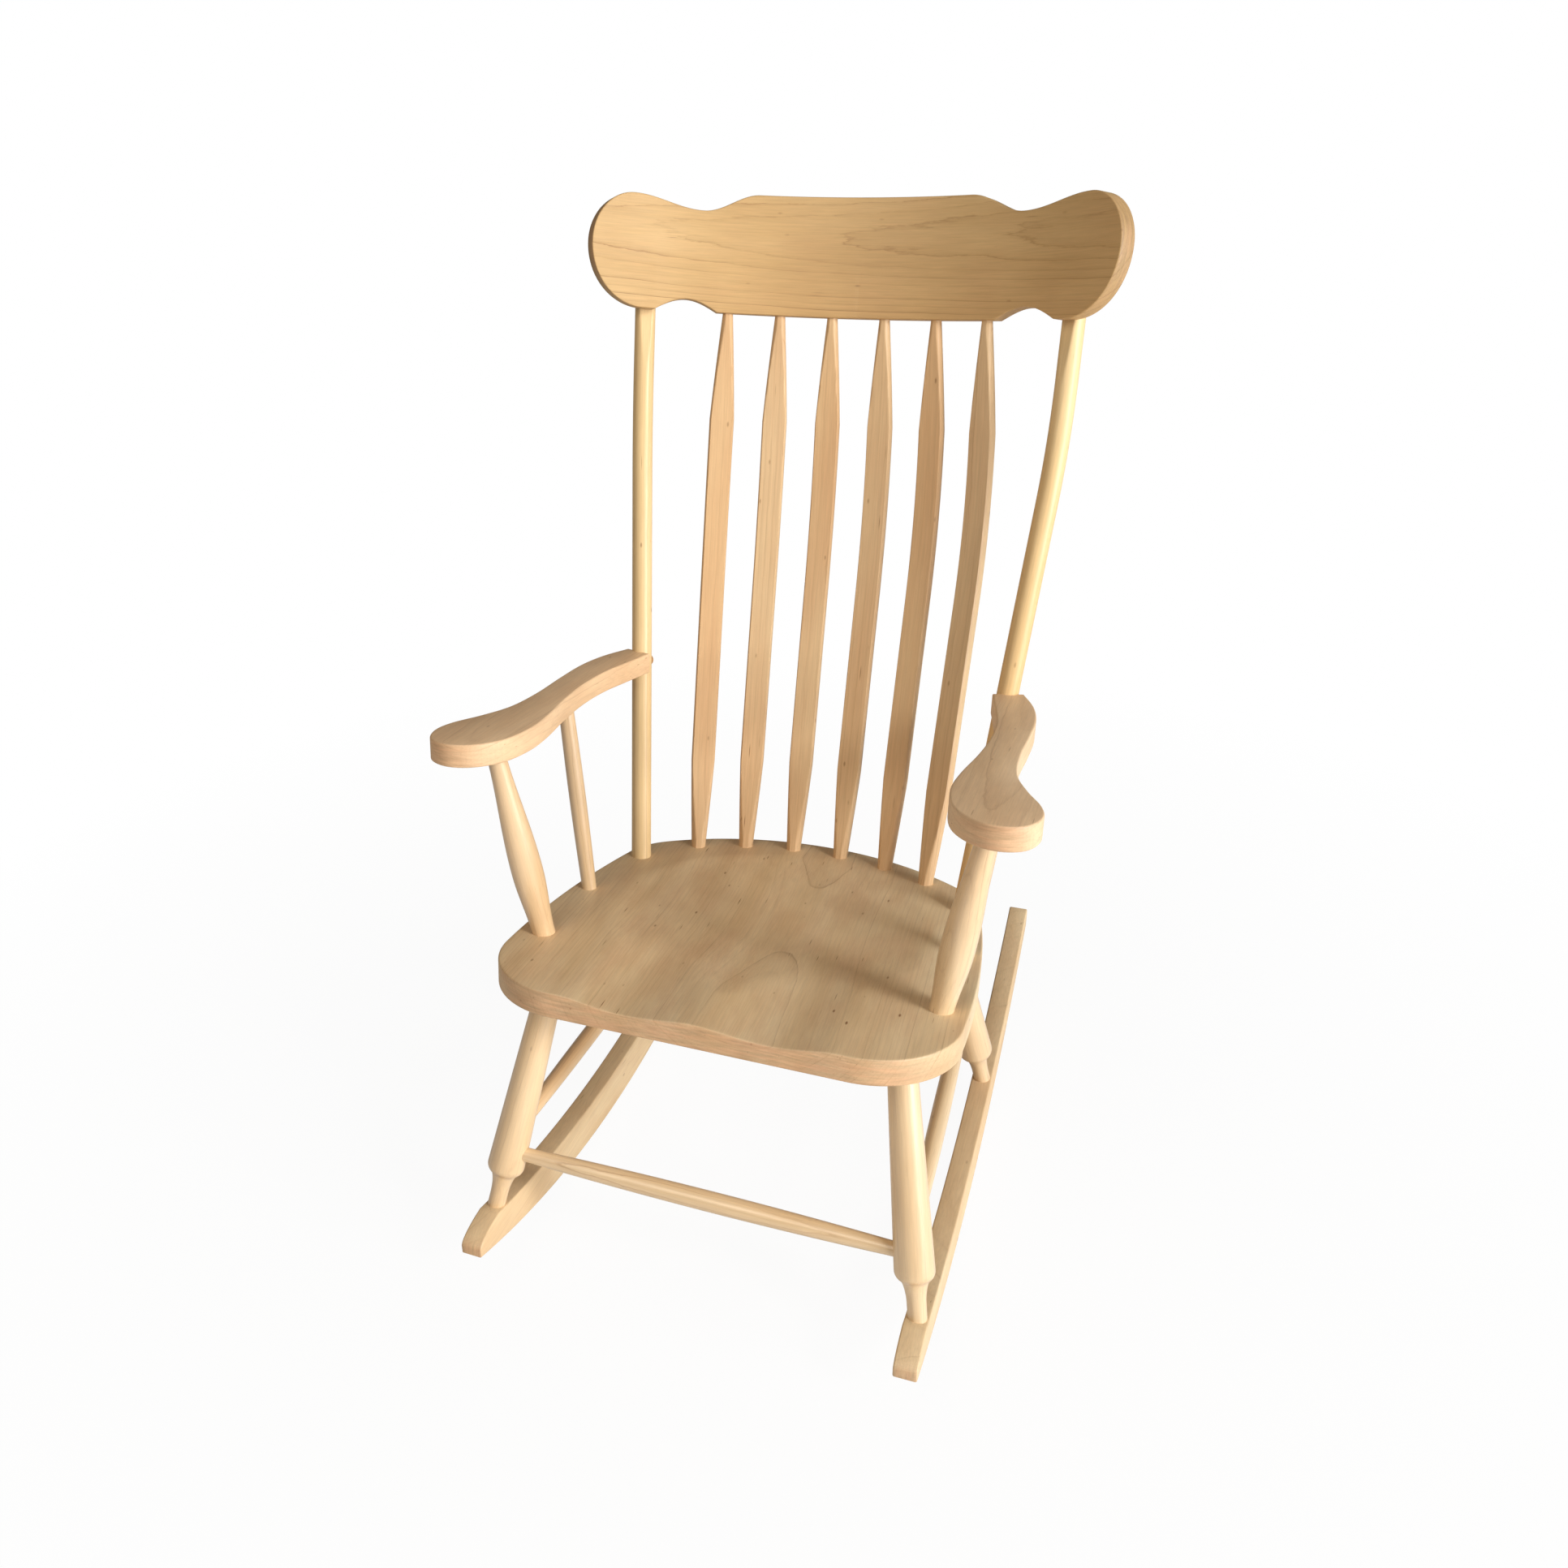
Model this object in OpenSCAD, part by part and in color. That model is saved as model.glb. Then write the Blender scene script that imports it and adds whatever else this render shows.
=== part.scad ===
// Boston rocker: a saddled board seat on two sawn rockers, with turned legs and stretchers,
// two bent back posts, six bent and flattened spindles, a curved crest rail and two sawn arms.
// Millimetres and degrees. Z is up, the sitter faces -Y, the floor is z = 0, and y = 0 is the
// middle of the rockers. The chair stands level across and at rest on its rockers.

/* [Seat] */
// Width of the seat at its widest
seat_w = 526; // [500:2:560]
// Depth of the seat from front edge to the middle of the back edge
seat_d = 512; // [490:2:530]
// Thickness of the seat board
seat_t = 30; // [28:1:36]
// Height of the seat top above the floor at y = 0
seat_h = 363; // [345:1:385]
// Slope of the seat down to the rear
seat_tilt = 7.65; // [5:0.05:9]
// Where the front edge lies ahead of y = 0, along the seat
seat_front = 360; // [350:1:370]
// Radius of the back edge
seat_back_r = 328; // [300:2:360]
// Radius of the side edges
seat_side_r = 1200; // [1000:10:2200]
// Radius of the front corners
seat_front_corner = 98; // [70:1:110]
// Radius of the rear corners
seat_rear_corner = 90; // [70:1:120]
// Depth of the dish
dish_depth = 12; // [6:0.5:14]
// Half the width of the dish
dish_half_w = 196; // [170:1:205]
// Depth of the two thigh scoops where they leave the front edge
scoop_depth = 7.5; // [4:0.5:9]
// Half the width of a thigh scoop
scoop_half_w = 66; // [56:1:78]
// Distance between the middles of the two thigh scoops
scoop_apart = 162; // [150:2:180]
// How deep the sticks stand in the seat
seat_socket = 20; // [14:1:22]

/* [Rockers] */
// Length of a rocker from toe to heel
rocker_len = 862; // [800:2:900]
// Width of a rocker board
rocker_w = 26; // [22:1:32]
// Height of a rocker where it touches the floor
rocker_h = 53; // [50:1:60]
// Radius of the running edge
rocker_r = 1168; // [1050:1:1300]
// Radius of the top edge
rocker_top_r = 1458; // [1380:2:1600]
// Where the rockers touch the floor, ahead of y = 0
contact_y = -26; // [-60:0.5:60]
// Distance from the middle of the chair to the middle of a rocker, at y = 0
rocker_x = 245; // [230:1:265]
// How much the rockers draw together to the rear, each
rocker_toe_in = 1; // [0:0.1:3]
// Length of the toe that curves down
toe_len = 54; // [40:1:58]
// Height of the blunt tip of the toe
toe_tip = 9; // [5:1:14]
// Radius of the heel's top corner
heel_r = 12; // [4:1:14]

/* [Legs] */
// Front legs: distance of the leg's top from the front edge of the seat
front_leg_in = 90; // [80:1:110]
// Front legs: distance of the leg's top from the side of the seat
front_leg_side = 62; // [56:1:75]
// Front legs: distance of the foot behind the toe of the rocker
front_foot = 65; // [60:1:80]
// Rear legs: distance of the leg's top from the back edge of the seat
rear_leg_in = 97; // [90:1:110]
// Rear legs: distance of the leg's top from the side of the seat
rear_leg_side = 78; // [74:1:90]
// Rear legs: distance of the foot ahead of the heel of the rocker
rear_foot = 337; // [300:1:350]
// Diameter of a leg at the seat
leg_top_d = 31; // [28:0.5:34]
// Diameter of a leg at its shoulder
leg_shoulder_d = 44; // [40:0.5:50]
// Diameter of the neck below the shoulder
leg_neck_d = 21; // [18:0.5:23]
// Diameter of the foot tenon in the rocker
foot_tenon_d = 14; // [11:0.5:15]
// Length of the foot tenon
foot_tenon = 20; // [14:1:26]

/* [Stretchers] */
// Diameter of a stretcher at its ends
stretcher_end_d = 16.5; // [15:0.5:20]
// Diameter of the front and rear stretchers at the middle
front_stretcher_d = 23; // [20:0.5:30]
// Diameter of the side stretchers at the middle
side_stretcher_d = 21; // [18:0.5:28]
// Height of the front stretcher above the floor
front_stretcher_z = 159; // [150:1:161]
// Height of the side stretchers above the floor
side_stretcher_z = 180; // [178:1:190]
// Height of the rear stretcher above the floor
rear_stretcher_z = 150; // [135:1:155]
// How far a stretcher's end goes past the axis of the leg
stretcher_past = 4; // [0:0.5:6]

/* [Back] */
// Diameter of a back post
post_d = 25.4; // [24:0.1:30]
// Distance of a post's foot from the side of the seat
post_side = 51; // [46:1:56]
// Distance of a post's foot from the back edge of the seat
post_in = 126; // [122:1:132]
// Angle that a post is bent by
post_bend = 8; // [5:0.5:11]
// Where the bend lies along a post, as a share of its height to the crest rail
post_bend_at = 0.81; // [0.74:0.01:0.84]
// How deep the crest rail is let into the post at the rail's lower edge
post_lap = 3; // [1:0.5:5]
// How far a post goes up behind the crest rail
post_over = 106; // [90:1:112]
// Width of a spindle, which is the diameter of its blank
spindle_w = 31; // [26:0.5:33]
// Thickness of a spindle after it is flattened
spindle_t = 14; // [11:0.5:17]
// Diameter of a spindle at the seat
spindle_foot_d = 18.5; // [15:0.5:20]
// Diameter of a spindle at the crest rail
spindle_neck_d = 12.5; // [12:0.5:16]
// Diameter of the tenon in the crest rail
spindle_tenon_d = 10; // [8:0.5:11]
// Length of the tenon in the crest rail
spindle_tenon = 22; // [14:1:26]
// Angle between neighbouring spindle feet, seen from the centre of the back edge's arc
spindle_step = 12.1; // [10.8:0.1:12.6]
// Distance of the spindle feet from the back edge
spindle_in = 23; // [18:0.5:26]
// Angle that a spindle is bent by
spindle_bend = 12; // [9:0.5:14]
// Where the bend lies along a spindle, as a share of its height
spindle_bend_at = 0.66; // [0.6:0.01:0.7]
// Radius of the bends of posts and spindles
bend_r = 1000; // [850:10:1150]

/* [Crest rail] */
// Height of the middle of the crest rail above the floor
crest_z = 1082; // [1050:1:1110]
// Distance of the middle of the crest rail behind y = 0
crest_y = 282; // [265:1:300]
// Lean of the crest rail to the rear
crest_tilt = 14.3; // [12:0.1:17]
// Radius of the crest rail's hollow front face
crest_r = 470; // [450:2:500]
// Thickness of the crest rail
crest_t = 20; // [19:0.5:24]
// Width of the crest rail along its front face
crest_w = 660; // [630:2:690]
// Height of the straight middle of the crest rail
crest_h = 138; // [125:1:150]
// Distance of an ear's highest point from its end, along the front face
crest_ear = 50; // [44:1:58]
// Angle between neighbouring spindle tops, seen from the centre of the rail's arc
crest_step = 7.7; // [7:0.1:8]
// Angle from the middle of the rail to a post
crest_post_angle = 31.1; // [30:0.1:32]
// Softened edge of the crest rail
crest_edge = 2; // [1:0.5:4]

/* [Arms] */
// Height of the arm tops above the floor at y = 0
arm_z = 631; // [610:1:650]
// Slope of the arms down to the rear
arm_tilt = 6.85; // [4:0.05:9]
// Thickness of an arm
arm_t = 26; // [24:1:32]
// Length of an arm from the back post to its front end
arm_len = 416; // [380:1:440]
// Diameter of an arm post at the seat
arm_post_foot_d = 27; // [24:0.5:30]
// Diameter of an arm post at its swelling
arm_post_belly_d = 36.5; // [32:0.5:40]
// Diameter of an arm post at the arm
arm_post_top_d = 21; // [18:0.5:23]
// Distance of an arm post's foot from the side of the seat
arm_post_side = 30; // [28:0.5:36]
// Distance of an arm post's foot from the front edge of the seat
arm_post_in = 132; // [126:1:140]
// Diameter of an arm spindle at its ends
arm_spindle_end_d = 18; // [15:0.5:20]
// Diameter of an arm spindle at the middle
arm_spindle_d = 20.5; // [18:0.5:24]
// Distance of an arm spindle's foot from the side of the seat
arm_spindle_side = 29; // [27:0.5:36]
// Distance of an arm spindle's foot from the front edge of the seat
arm_spindle_in = 266; // [255:1:275]
// How deep the sticks stand in the arms
arm_socket = 15; // [10:1:18]

/* [Fasteners] */
// Diameter of a screw's shank
screw_d = 4; // [3:0.5:5]
// Length of a screw under its head
arm_screw_len = 34; // [28:1:40]
// Length of a crest rail screw under its head
crest_screw_len = 24; // [20:1:28]
// Diameter of the bored seat of a screw head, filled by a button plug
plug_d = 9.5; // [8:0.5:11]
// Depth of that bore in the post
plug_bore = 8; // [6:0.5:9]
// Diameter of the mushroom head of a plug
button_d = 12; // [11:0.5:14]
// Height of the mushroom head
button_h = 3; // [2:0.5:4]

/* [Hidden] */
$fn = 64;
maple = "burlywood";
light_maple = "wheat";
pink_maple = "tan";
steel = "silver";
fit_gap = 0.1; // clearance of every tenon in its socket, on the radius and at the end
arc_steps = 12; // points on each arc of a drawn outline
bend_join = 0.5; // how far a straight run reaches into its bend
bend_step = 0.2; // a bend is this much thinner than the runs that it joins
half_w = seat_w / 2;
seat_back = seat_d - seat_front; // back edge behind y = 0, along the seat
toe_y = -rocker_len / 2;
heel_y = rocker_len / 2;

// Points on the pieces that others stand on

// A point of the seat: x, distance behind y = 0 along the seat, height over the seat top
function seat_pt(x, s, up = 0) =
    [x, s * cos(seat_tilt) + up * sin(seat_tilt), seat_h - s * sin(seat_tilt) + up * cos(seat_tilt)];
// A point of the arm plane, in the same way
function arm_pt(x, s, up = 0) =
    [x, s * cos(arm_tilt) + up * sin(arm_tilt), arm_z - s * sin(arm_tilt) + up * cos(arm_tilt)];
// A point of the crest rail: angle round its arc, height along it, depth behind its front face
function crest_pt(a, up, back) =
    let (off = (crest_r + back) * cos(a) - crest_r)
    [(crest_r + back) * sin(a),
        crest_y + up * sin(crest_tilt) + off * cos(crest_tilt),
        crest_z + up * cos(crest_tilt) - off * sin(crest_tilt)];
function mirrored(p, side) = [p[0] * side, p[1], p[2]];
// The point at height z on the line from a to b
function at_height(a, b, z) = a + (b - a) * (z - a[2]) / (b[2] - a[2]);

// Rocker edges and the feet of the legs
function run_z(y, r) = r - sqrt(r * r - pow(y - contact_y, 2));
function rocker_top(y) = rocker_h + run_z(y, rocker_top_r);
function foot_pt(y) = [rocker_x - y * tan(rocker_toe_in), y, rocker_top(y)];
front_foot_pt = foot_pt(toe_y + front_foot);
rear_foot_pt = foot_pt(heel_y - rear_foot);
front_leg_pt = seat_pt(half_w - front_leg_side, front_leg_in - seat_front, -seat_t);
rear_leg_pt = seat_pt(half_w - rear_leg_side, seat_back - rear_leg_in, -seat_t);

// Feet and tops of the sticks of the back
back_arc_s = seat_back - seat_back_r; // centre of the back edge's arc
function spindle_foot(i) =
    seat_pt((seat_back_r - spindle_in) * sin(i * spindle_step / 2),
        back_arc_s + (seat_back_r - spindle_in) * cos(i * spindle_step / 2));
spindle_depth = crest_t * 0.56; // the spindles enter the rail a little behind its middle
crest_low = -crest_h / 2;
function spindle_top(i) = crest_pt(i * crest_step / 2, crest_low, spindle_depth);
post_foot = seat_pt(half_w - post_side, seat_back - post_in);
post_top = crest_pt(crest_post_angle, crest_low, crest_t + post_d / 2 - post_lap);

// Arm sticks
post_way = unit(post_top - post_foot) * cos(bend_lean(post_foot, post_top, post_bend, post_bend_at))
    + bend_rear(post_foot, post_top, crest_post_angle)
    * sin(bend_lean(post_foot, post_top, post_bend, post_bend_at));
arm_up = [0, sin(arm_tilt), cos(arm_tilt)];
post_to_arm = (arm_pt(0, 0, -arm_t / 2) - post_foot) * arm_up / (post_way * arm_up);
post_at_arm = let (d = post_foot + post_to_arm * post_way) [d[0], d[1] / cos(arm_tilt)];
arm_scale = arm_len / 416;
arm_post_foot = seat_pt(half_w - arm_post_side, arm_post_in - seat_front);
arm_post_top = arm_pt(post_at_arm[0] + 38, post_at_arm[1] - 340 * arm_scale, -arm_t);
arm_spindle_foot = seat_pt(half_w - arm_spindle_side, arm_spindle_in - seat_front);
arm_spindle_top = arm_pt(post_at_arm[0] + 29, post_at_arm[1] - 172 * arm_scale, -arm_t);

// Plan of an arm, measured from the back post: inner edge from the rear, then round the front
arm_plan = [[-15, -9], [-4, -62], [5, -109], [8, -164], [4, -226], [-4, -291], [-5, -338], [5, -381],
    [28, -408], [55, -416], [79, -405], [89, -379], [84, -350], [66, -314], [51, -273], [46, -216],
    [47, -151], [46, -91], [37, -41], [20, 3]];

// Curves

function arc_pts(c, r, a0, a1) = [for (i = [0:arc_steps]) let (a = a0 + (a1 - a0) * i / arc_steps)
    c + r * [cos(a), sin(a)]];
// Smooth curve through points, four steps from each to the next
function curve_pt(p, i, t) =
    let (n = len(p) - 1, a = p[max(i - 1, 0)], b = p[i], c = p[i + 1], d = p[min(i + 2, n)])
    0.5 * (2 * b + (c - a) * t + (2 * a - 5 * b + 4 * c - d) * t * t + (3 * b - a - 3 * c + d) * t * t * t);
function curve(p) = [for (i = [0:len(p) - 2], t = [0:3]) curve_pt(p, i, t / 4), p[len(p) - 1]];
// Half of a cosine wave from value a at s0 to value b at s1
function wave(s, s0, s1, a, b) = (a + b) / 2 + (a - b) / 2 * cos(180 * (s - s0) / (s1 - s0));

// Seat outline: back edge, side and corners are tangent arcs, drawn for the right half
side_c = [half_w - seat_side_r, -seat_front + seat_d * 0.235];
back_c = [0, back_arc_s];
// Centre of the rear corner: as far inside both the side arc and the back arc
rear_c = let (d = norm(side_c - back_c), r0 = seat_back_r - seat_rear_corner,
        r1 = seat_side_r - seat_rear_corner, u = (side_c - back_c) / d,
        along_u = (d * d + r0 * r0 - r1 * r1) / (2 * d))
    back_c + along_u * u + sqrt(r0 * r0 - along_u * along_u) * [u[1], -u[0]];
function heading(a, b) = atan2(b[1] - a[1], b[0] - a[0]);
front_c = [sqrt(pow(seat_side_r - seat_front_corner, 2)
        - pow(-seat_front + seat_front_corner - side_c[1], 2)) + side_c[0],
    -seat_front + seat_front_corner];
back_turn = heading(back_c, rear_c);
side_turn = heading(side_c, rear_c);
front_turn = heading(side_c, front_c);
right_half = concat(
    arc_pts(front_c, seat_front_corner, -90, front_turn),
    arc_pts(side_c, seat_side_r, front_turn, side_turn),
    arc_pts(rear_c, seat_rear_corner, side_turn, back_turn),
    arc_pts(back_c, seat_back_r, back_turn, 90));
seat_outline = concat(right_half, [for (i = [len(right_half) - 2:-1:0]) [-right_half[i][0], right_half[i][1]]]);

// Placing

// Children stand along z from point a towards point b
module along(a, b, turn = 0) {
    d = b - a;
    translate(a) rotate([0, acos(d[2] / norm(d)), atan2(d[1], d[0])]) rotate([0, 0, turn]) children();
}
module on_seat() translate([0, 0, seat_h]) rotate([-seat_tilt, 0, 0]) children();
module on_arm() translate([0, 0, arm_z]) rotate([-arm_tilt, 0, 0]) children();
// Children of the crest rail: z up along the rail, y to the rear, at the front face
module on_crest() translate([0, crest_y, crest_z]) rotate([-crest_tilt, 0, 0]) children();
module mirror_to(side) mirror([side < 0 ? 1 : 0, 0, 0]) children();

// A bent stick lies in the upright plane that is square to the crest rail's arc. It runs straight
// from its foot, turns forward by the bend angle on bend_r, and runs straight again to its top.
function bend_legs(a, b, bend, at) =
    let (span = norm(b - a), sum = span / sqrt(1 - 2 * at * (1 - at) * (1 - cos(bend))))
    [at * sum, (1 - at) * sum];
function bend_lean(a, b, bend, at) = asin(bend_legs(a, b, bend, at)[1] * sin(bend) / norm(b - a));
function unit(v) = v / norm(v);
// Direction to the rear in the plane of the bend, square to the line from foot to top
function bend_rear(a, b, facing) =
    let (c = unit(b - a), n = [sin(facing), cos(facing), 0]) unit(n - (n * c) * c);
function straight(a, b, bend, at, part) = bend_legs(a, b, bend, at)[part] - bend_r * tan(bend / 2);
// Children at the foot, z along the lower run, y to the rear
module bend_foot(a, b, facing, bend, at) {
    c = unit(b - a);
    heading = atan2(c[1], c[0]);
    rear = bend_rear(a, b, facing);
    side_x = rear * [c[2] * cos(heading), c[2] * sin(heading), -sqrt(1 - c[2] * c[2])];
    side_y = rear * [-sin(heading), cos(heading), 0];
    along(a, b, atan2(-side_x, side_y)) rotate([-bend_lean(a, b, bend, at), 0, 0]) children();
}
// Children at the top, z along the upper run
module bend_top(a, b, facing, bend, at)
    bend_foot(a, b, facing, bend, at)
        translate([0, -bend_r, straight(a, b, bend, at, 0)]) rotate([bend, 0, 0])
            translate([0, bend_r, straight(a, b, bend, at, 1)]) children();
// The bend itself, swept from a flat section drawn with x to the rear
module bend_sweep(a, b, facing, bend, at)
    bend_foot(a, b, facing, bend, at)
        translate([0, -bend_r, straight(a, b, bend, at, 0)]) rotate(a = 120, v = [1, 1, 1])
            rotate_extrude(angle = bend, $fn = 360) translate([bend_r, 0]) children();

// Rockers

module rocker_side() {
    toe_c = [toe_y + toe_len, run_z(toe_y, rocker_r) + toe_tip];
    hip = 1.5; // the toe's curve passes this much over the top edge, so that the two cross
    toe_rise = rocker_top(toe_c[0]) + hip - toe_c[1];
    toe_curve = [for (a = [0:7.5:90]) toe_c + [-toe_len * cos(a), toe_rise * sin(a)]];
    heel_top = rocker_top(heel_y);
    intersection() {
        difference() {
            translate([contact_y, rocker_r]) circle(r = rocker_r, $fn = 720);
            translate([contact_y, rocker_h + rocker_top_r]) circle(r = rocker_top_r, $fn = 720);
        }
        polygon(concat([[toe_y, -1]], toe_curve, [[toe_c[0], 400], [heel_y - heel_r, 400]],
            arc_pts([heel_y - heel_r, heel_top - heel_r], heel_r, 90, 0), [[heel_y, -1]]));
    }
}
module rocker_blank()
    translate([rocker_x, 0, 0]) rotate([0, 0, rocker_toe_in]) rotate([90, 0, 90])
        linear_extrude(rocker_w, center = true) rocker_side();
module foot_socket(foot, top)
    along(foot, top) translate([0, 0, -foot_tenon - fit_gap])
        cylinder(d = foot_tenon_d + 2 * fit_gap, h = foot_tenon + 2 * fit_gap);
module rocker(side) color(maple) mirror_to(side) difference() {
    rocker_blank();
    foot_socket(front_foot_pt, front_leg_pt);
    foot_socket(rear_foot_pt, rear_leg_pt);
}
module left_rocker() rocker(-1);
module right_rocker() rocker(1);

// Legs: foot at z = 0, seat at z = len
neck_h = 15; // straight neck over the rocker
cove_h = 28; // cove from the neck up to the ledge
shoulder_h = 10; // rounded shoulder over the ledge
cove_turn = 66; // how far the cove's arc opens
shoulder_turn = 30; // where the shoulder's arc starts
module leg_turning(len) {
    neck = leg_neck_d / 2;
    belly = leg_shoulder_d / 2;
    ledge = belly * 0.74; // the crease where the cove meets the shoulder
    cove = [for (i = [0:6]) let (a = cove_turn * i / 6)
        [neck + (ledge - neck) * (1 - cos(a)) / (1 - cos(cove_turn)), neck_h + cove_h * sin(a) / sin(cove_turn)]];
    round_over = [for (i = [1:6]) let (a = shoulder_turn + (90 - shoulder_turn) * i / 6)
        [ledge + (belly - ledge) * (sin(a) - sin(shoulder_turn)) / (1 - sin(shoulder_turn)),
            neck_h + cove_h + shoulder_h * (1 - cos(a) / cos(shoulder_turn))]];
    rotate_extrude() polygon(concat([[0, -6], [neck, -6]], cove, round_over,
        [[leg_top_d / 2, len], [leg_top_d / 2, len + seat_socket], [0, len + seat_socket]]));
}
module leg(foot, top, side) color(light_maple) mirror_to(side) {
    difference() {
        along(foot, top) leg_turning(norm(top - foot));
        rocker_blank();
        stretcher_sockets();
    }
    along(foot, top) translate([0, 0, -foot_tenon]) cylinder(d = foot_tenon_d, h = foot_tenon + 1);
}
module front_left_leg() leg(front_foot_pt, front_leg_pt, -1);
module front_right_leg() leg(front_foot_pt, front_leg_pt, 1);
module rear_left_leg() leg(rear_foot_pt, rear_leg_pt, -1);
module rear_right_leg() leg(rear_foot_pt, rear_leg_pt, 1);

// Stretchers run from leg axis to leg axis
front_up_pt = at_height(front_foot_pt, front_leg_pt, front_stretcher_z);
rear_up_pt = at_height(rear_foot_pt, rear_leg_pt, rear_stretcher_z);
side_front_pt = at_height(front_foot_pt, front_leg_pt, side_stretcher_z);
side_rear_pt = at_height(rear_foot_pt, rear_leg_pt, side_stretcher_z);
module stretcher(a, b, mid_d) {
    len = norm(b - a);
    straight_end = leg_shoulder_d / 2 + 6;
    bulge = [for (i = [0:10]) let (u = i / 10)
        [stretcher_end_d / 2 + (mid_d - stretcher_end_d) / 2 * (1 - pow(2 * u - 1, 2)),
            straight_end + (len - 2 * straight_end) * u]];
    color(light_maple) along(a, b) rotate_extrude() polygon(concat(
        [[0, -stretcher_past], [stretcher_end_d / 2, -stretcher_past]], bulge,
        [[stretcher_end_d / 2, len + stretcher_past], [0, len + stretcher_past]]));
}
// Bores for the stretchers that enter a right-hand leg
module stretcher_socket(a, b)
    along(a, b) translate([0, 0, -stretcher_past - fit_gap])
        cylinder(d = stretcher_end_d + 2 * fit_gap, h = stretcher_past + leg_shoulder_d);
module stretcher_sockets() {
    stretcher_socket(front_up_pt, mirrored(front_up_pt, -1));
    stretcher_socket(rear_up_pt, mirrored(rear_up_pt, -1));
    stretcher_socket(side_front_pt, side_rear_pt);
    stretcher_socket(side_rear_pt, side_front_pt);
}
module front_stretcher() stretcher(mirrored(front_up_pt, -1), front_up_pt, front_stretcher_d);
module rear_stretcher() stretcher(mirrored(rear_up_pt, -1), rear_up_pt, front_stretcher_d);
module left_stretcher() mirror_to(-1) stretcher(side_front_pt, side_rear_pt, side_stretcher_d);
module right_stretcher() stretcher(side_front_pt, side_rear_pt, side_stretcher_d);

// Back posts
module post_foot_frame() bend_foot(post_foot, post_top, crest_post_angle, post_bend, post_bend_at) children();
module post_top_frame() bend_top(post_foot, post_top, crest_post_angle, post_bend, post_bend_at) children();
post_low = straight(post_foot, post_top, post_bend, post_bend_at, 0);
post_high = straight(post_foot, post_top, post_bend, post_bend_at, 1);
// The flat on the front of the post's upper end, on which the crest rail lies
module post_flat() {
    reach = 60;
    below = 110;
    on_crest() translate([0, -crest_r, 0]) rotate([0, 0, -crest_post_angle])
        translate([-reach / 2, crest_r + crest_t + fit_gap / 2 - reach, crest_low - below])
            cube([reach, reach, below + crest_h + reach]);
}
module back_post(side) color(light_maple) mirror_to(side) difference() {
    union() {
        post_foot_frame() translate([0, 0, -seat_socket])
            cylinder(d = post_d, h = seat_socket + post_low + bend_join);
        bend_sweep(post_foot, post_top, crest_post_angle, post_bend, post_bend_at)
            circle(d = post_d - bend_step, $fn = 64);
        post_top_frame() translate([0, 0, -post_high - bend_join])
            cylinder(d = post_d, h = post_high + bend_join + post_over);
    }
    post_flat();
    arm_screw_frame() screw_bore(post_d);
    for (up = crest_screw_ups) crest_screw_frame(up) screw_bore(post_d);
}
module left_back_post() back_post(-1);
module right_back_post() back_post(1);

// Back spindles, numbered from the sitter's right: i is 1, 3 or 5 from the middle out
swell_low = 118; // length of the swelling over the seat
swell_high = 128; // length of the taper under the rail
module spindle_foot_frame(i)
    bend_foot(spindle_foot(i), spindle_top(i), i * crest_step / 2, spindle_bend, spindle_bend_at) children();
module spindle_top_frame(i)
    bend_top(spindle_foot(i), spindle_top(i), i * crest_step / 2, spindle_bend, spindle_bend_at) children();
// A turned end that swells from end_d to the full width over its length, then runs on to len
module swell(end_d, full_d, length, len) rotate_extrude() polygon(concat([[0, 0]],
    [for (a = [0:11.25:90]) [(end_d + (full_d - end_d) * (0.8 * a / 90 + 0.2 * sin(a))) / 2, length * a / 90]],
    [[full_d / 2, len], [0, len]]));
module spindle_section() intersection() {
    circle(d = spindle_w - bend_step, $fn = 64);
    square([spindle_t - bend_step, spindle_w + 1], center = true);
}
// The flats: wide apart at the round end, then parallel
module flats(end_d, length, len) rotate([90, 0, 90]) linear_extrude(spindle_w + 2, center = true)
    polygon([[-end_d / 2 - 1, -1], [end_d / 2 + 1, -1], [spindle_t / 2, length], [spindle_t / 2, len + 1],
        [-spindle_t / 2, len + 1], [-spindle_t / 2, length]]);
module spindle_shape(i) {
    low = straight(spindle_foot(i), spindle_top(i), spindle_bend, spindle_bend_at, 0) + bend_join;
    high = straight(spindle_foot(i), spindle_top(i), spindle_bend, spindle_bend_at, 1) + bend_join;
    over = 4; // the stick is made this much too long, and cut off under the rail
    spindle_foot_frame(i) {
        translate([0, 0, -seat_socket]) cylinder(d = spindle_foot_d, h = seat_socket + 1);
        intersection() {
            swell(spindle_foot_d, spindle_w, swell_low, low);
            flats(spindle_foot_d, swell_low, low);
        }
    }
    bend_sweep(spindle_foot(i), spindle_top(i), i * crest_step / 2, spindle_bend, spindle_bend_at)
        spindle_section();
    spindle_top_frame(i) rotate([180, 0, 0]) translate([0, 0, -over]) intersection() {
        swell(spindle_neck_d, spindle_w, swell_high, high + over);
        flats(spindle_neck_d, swell_high, high + over);
    }
}
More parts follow.
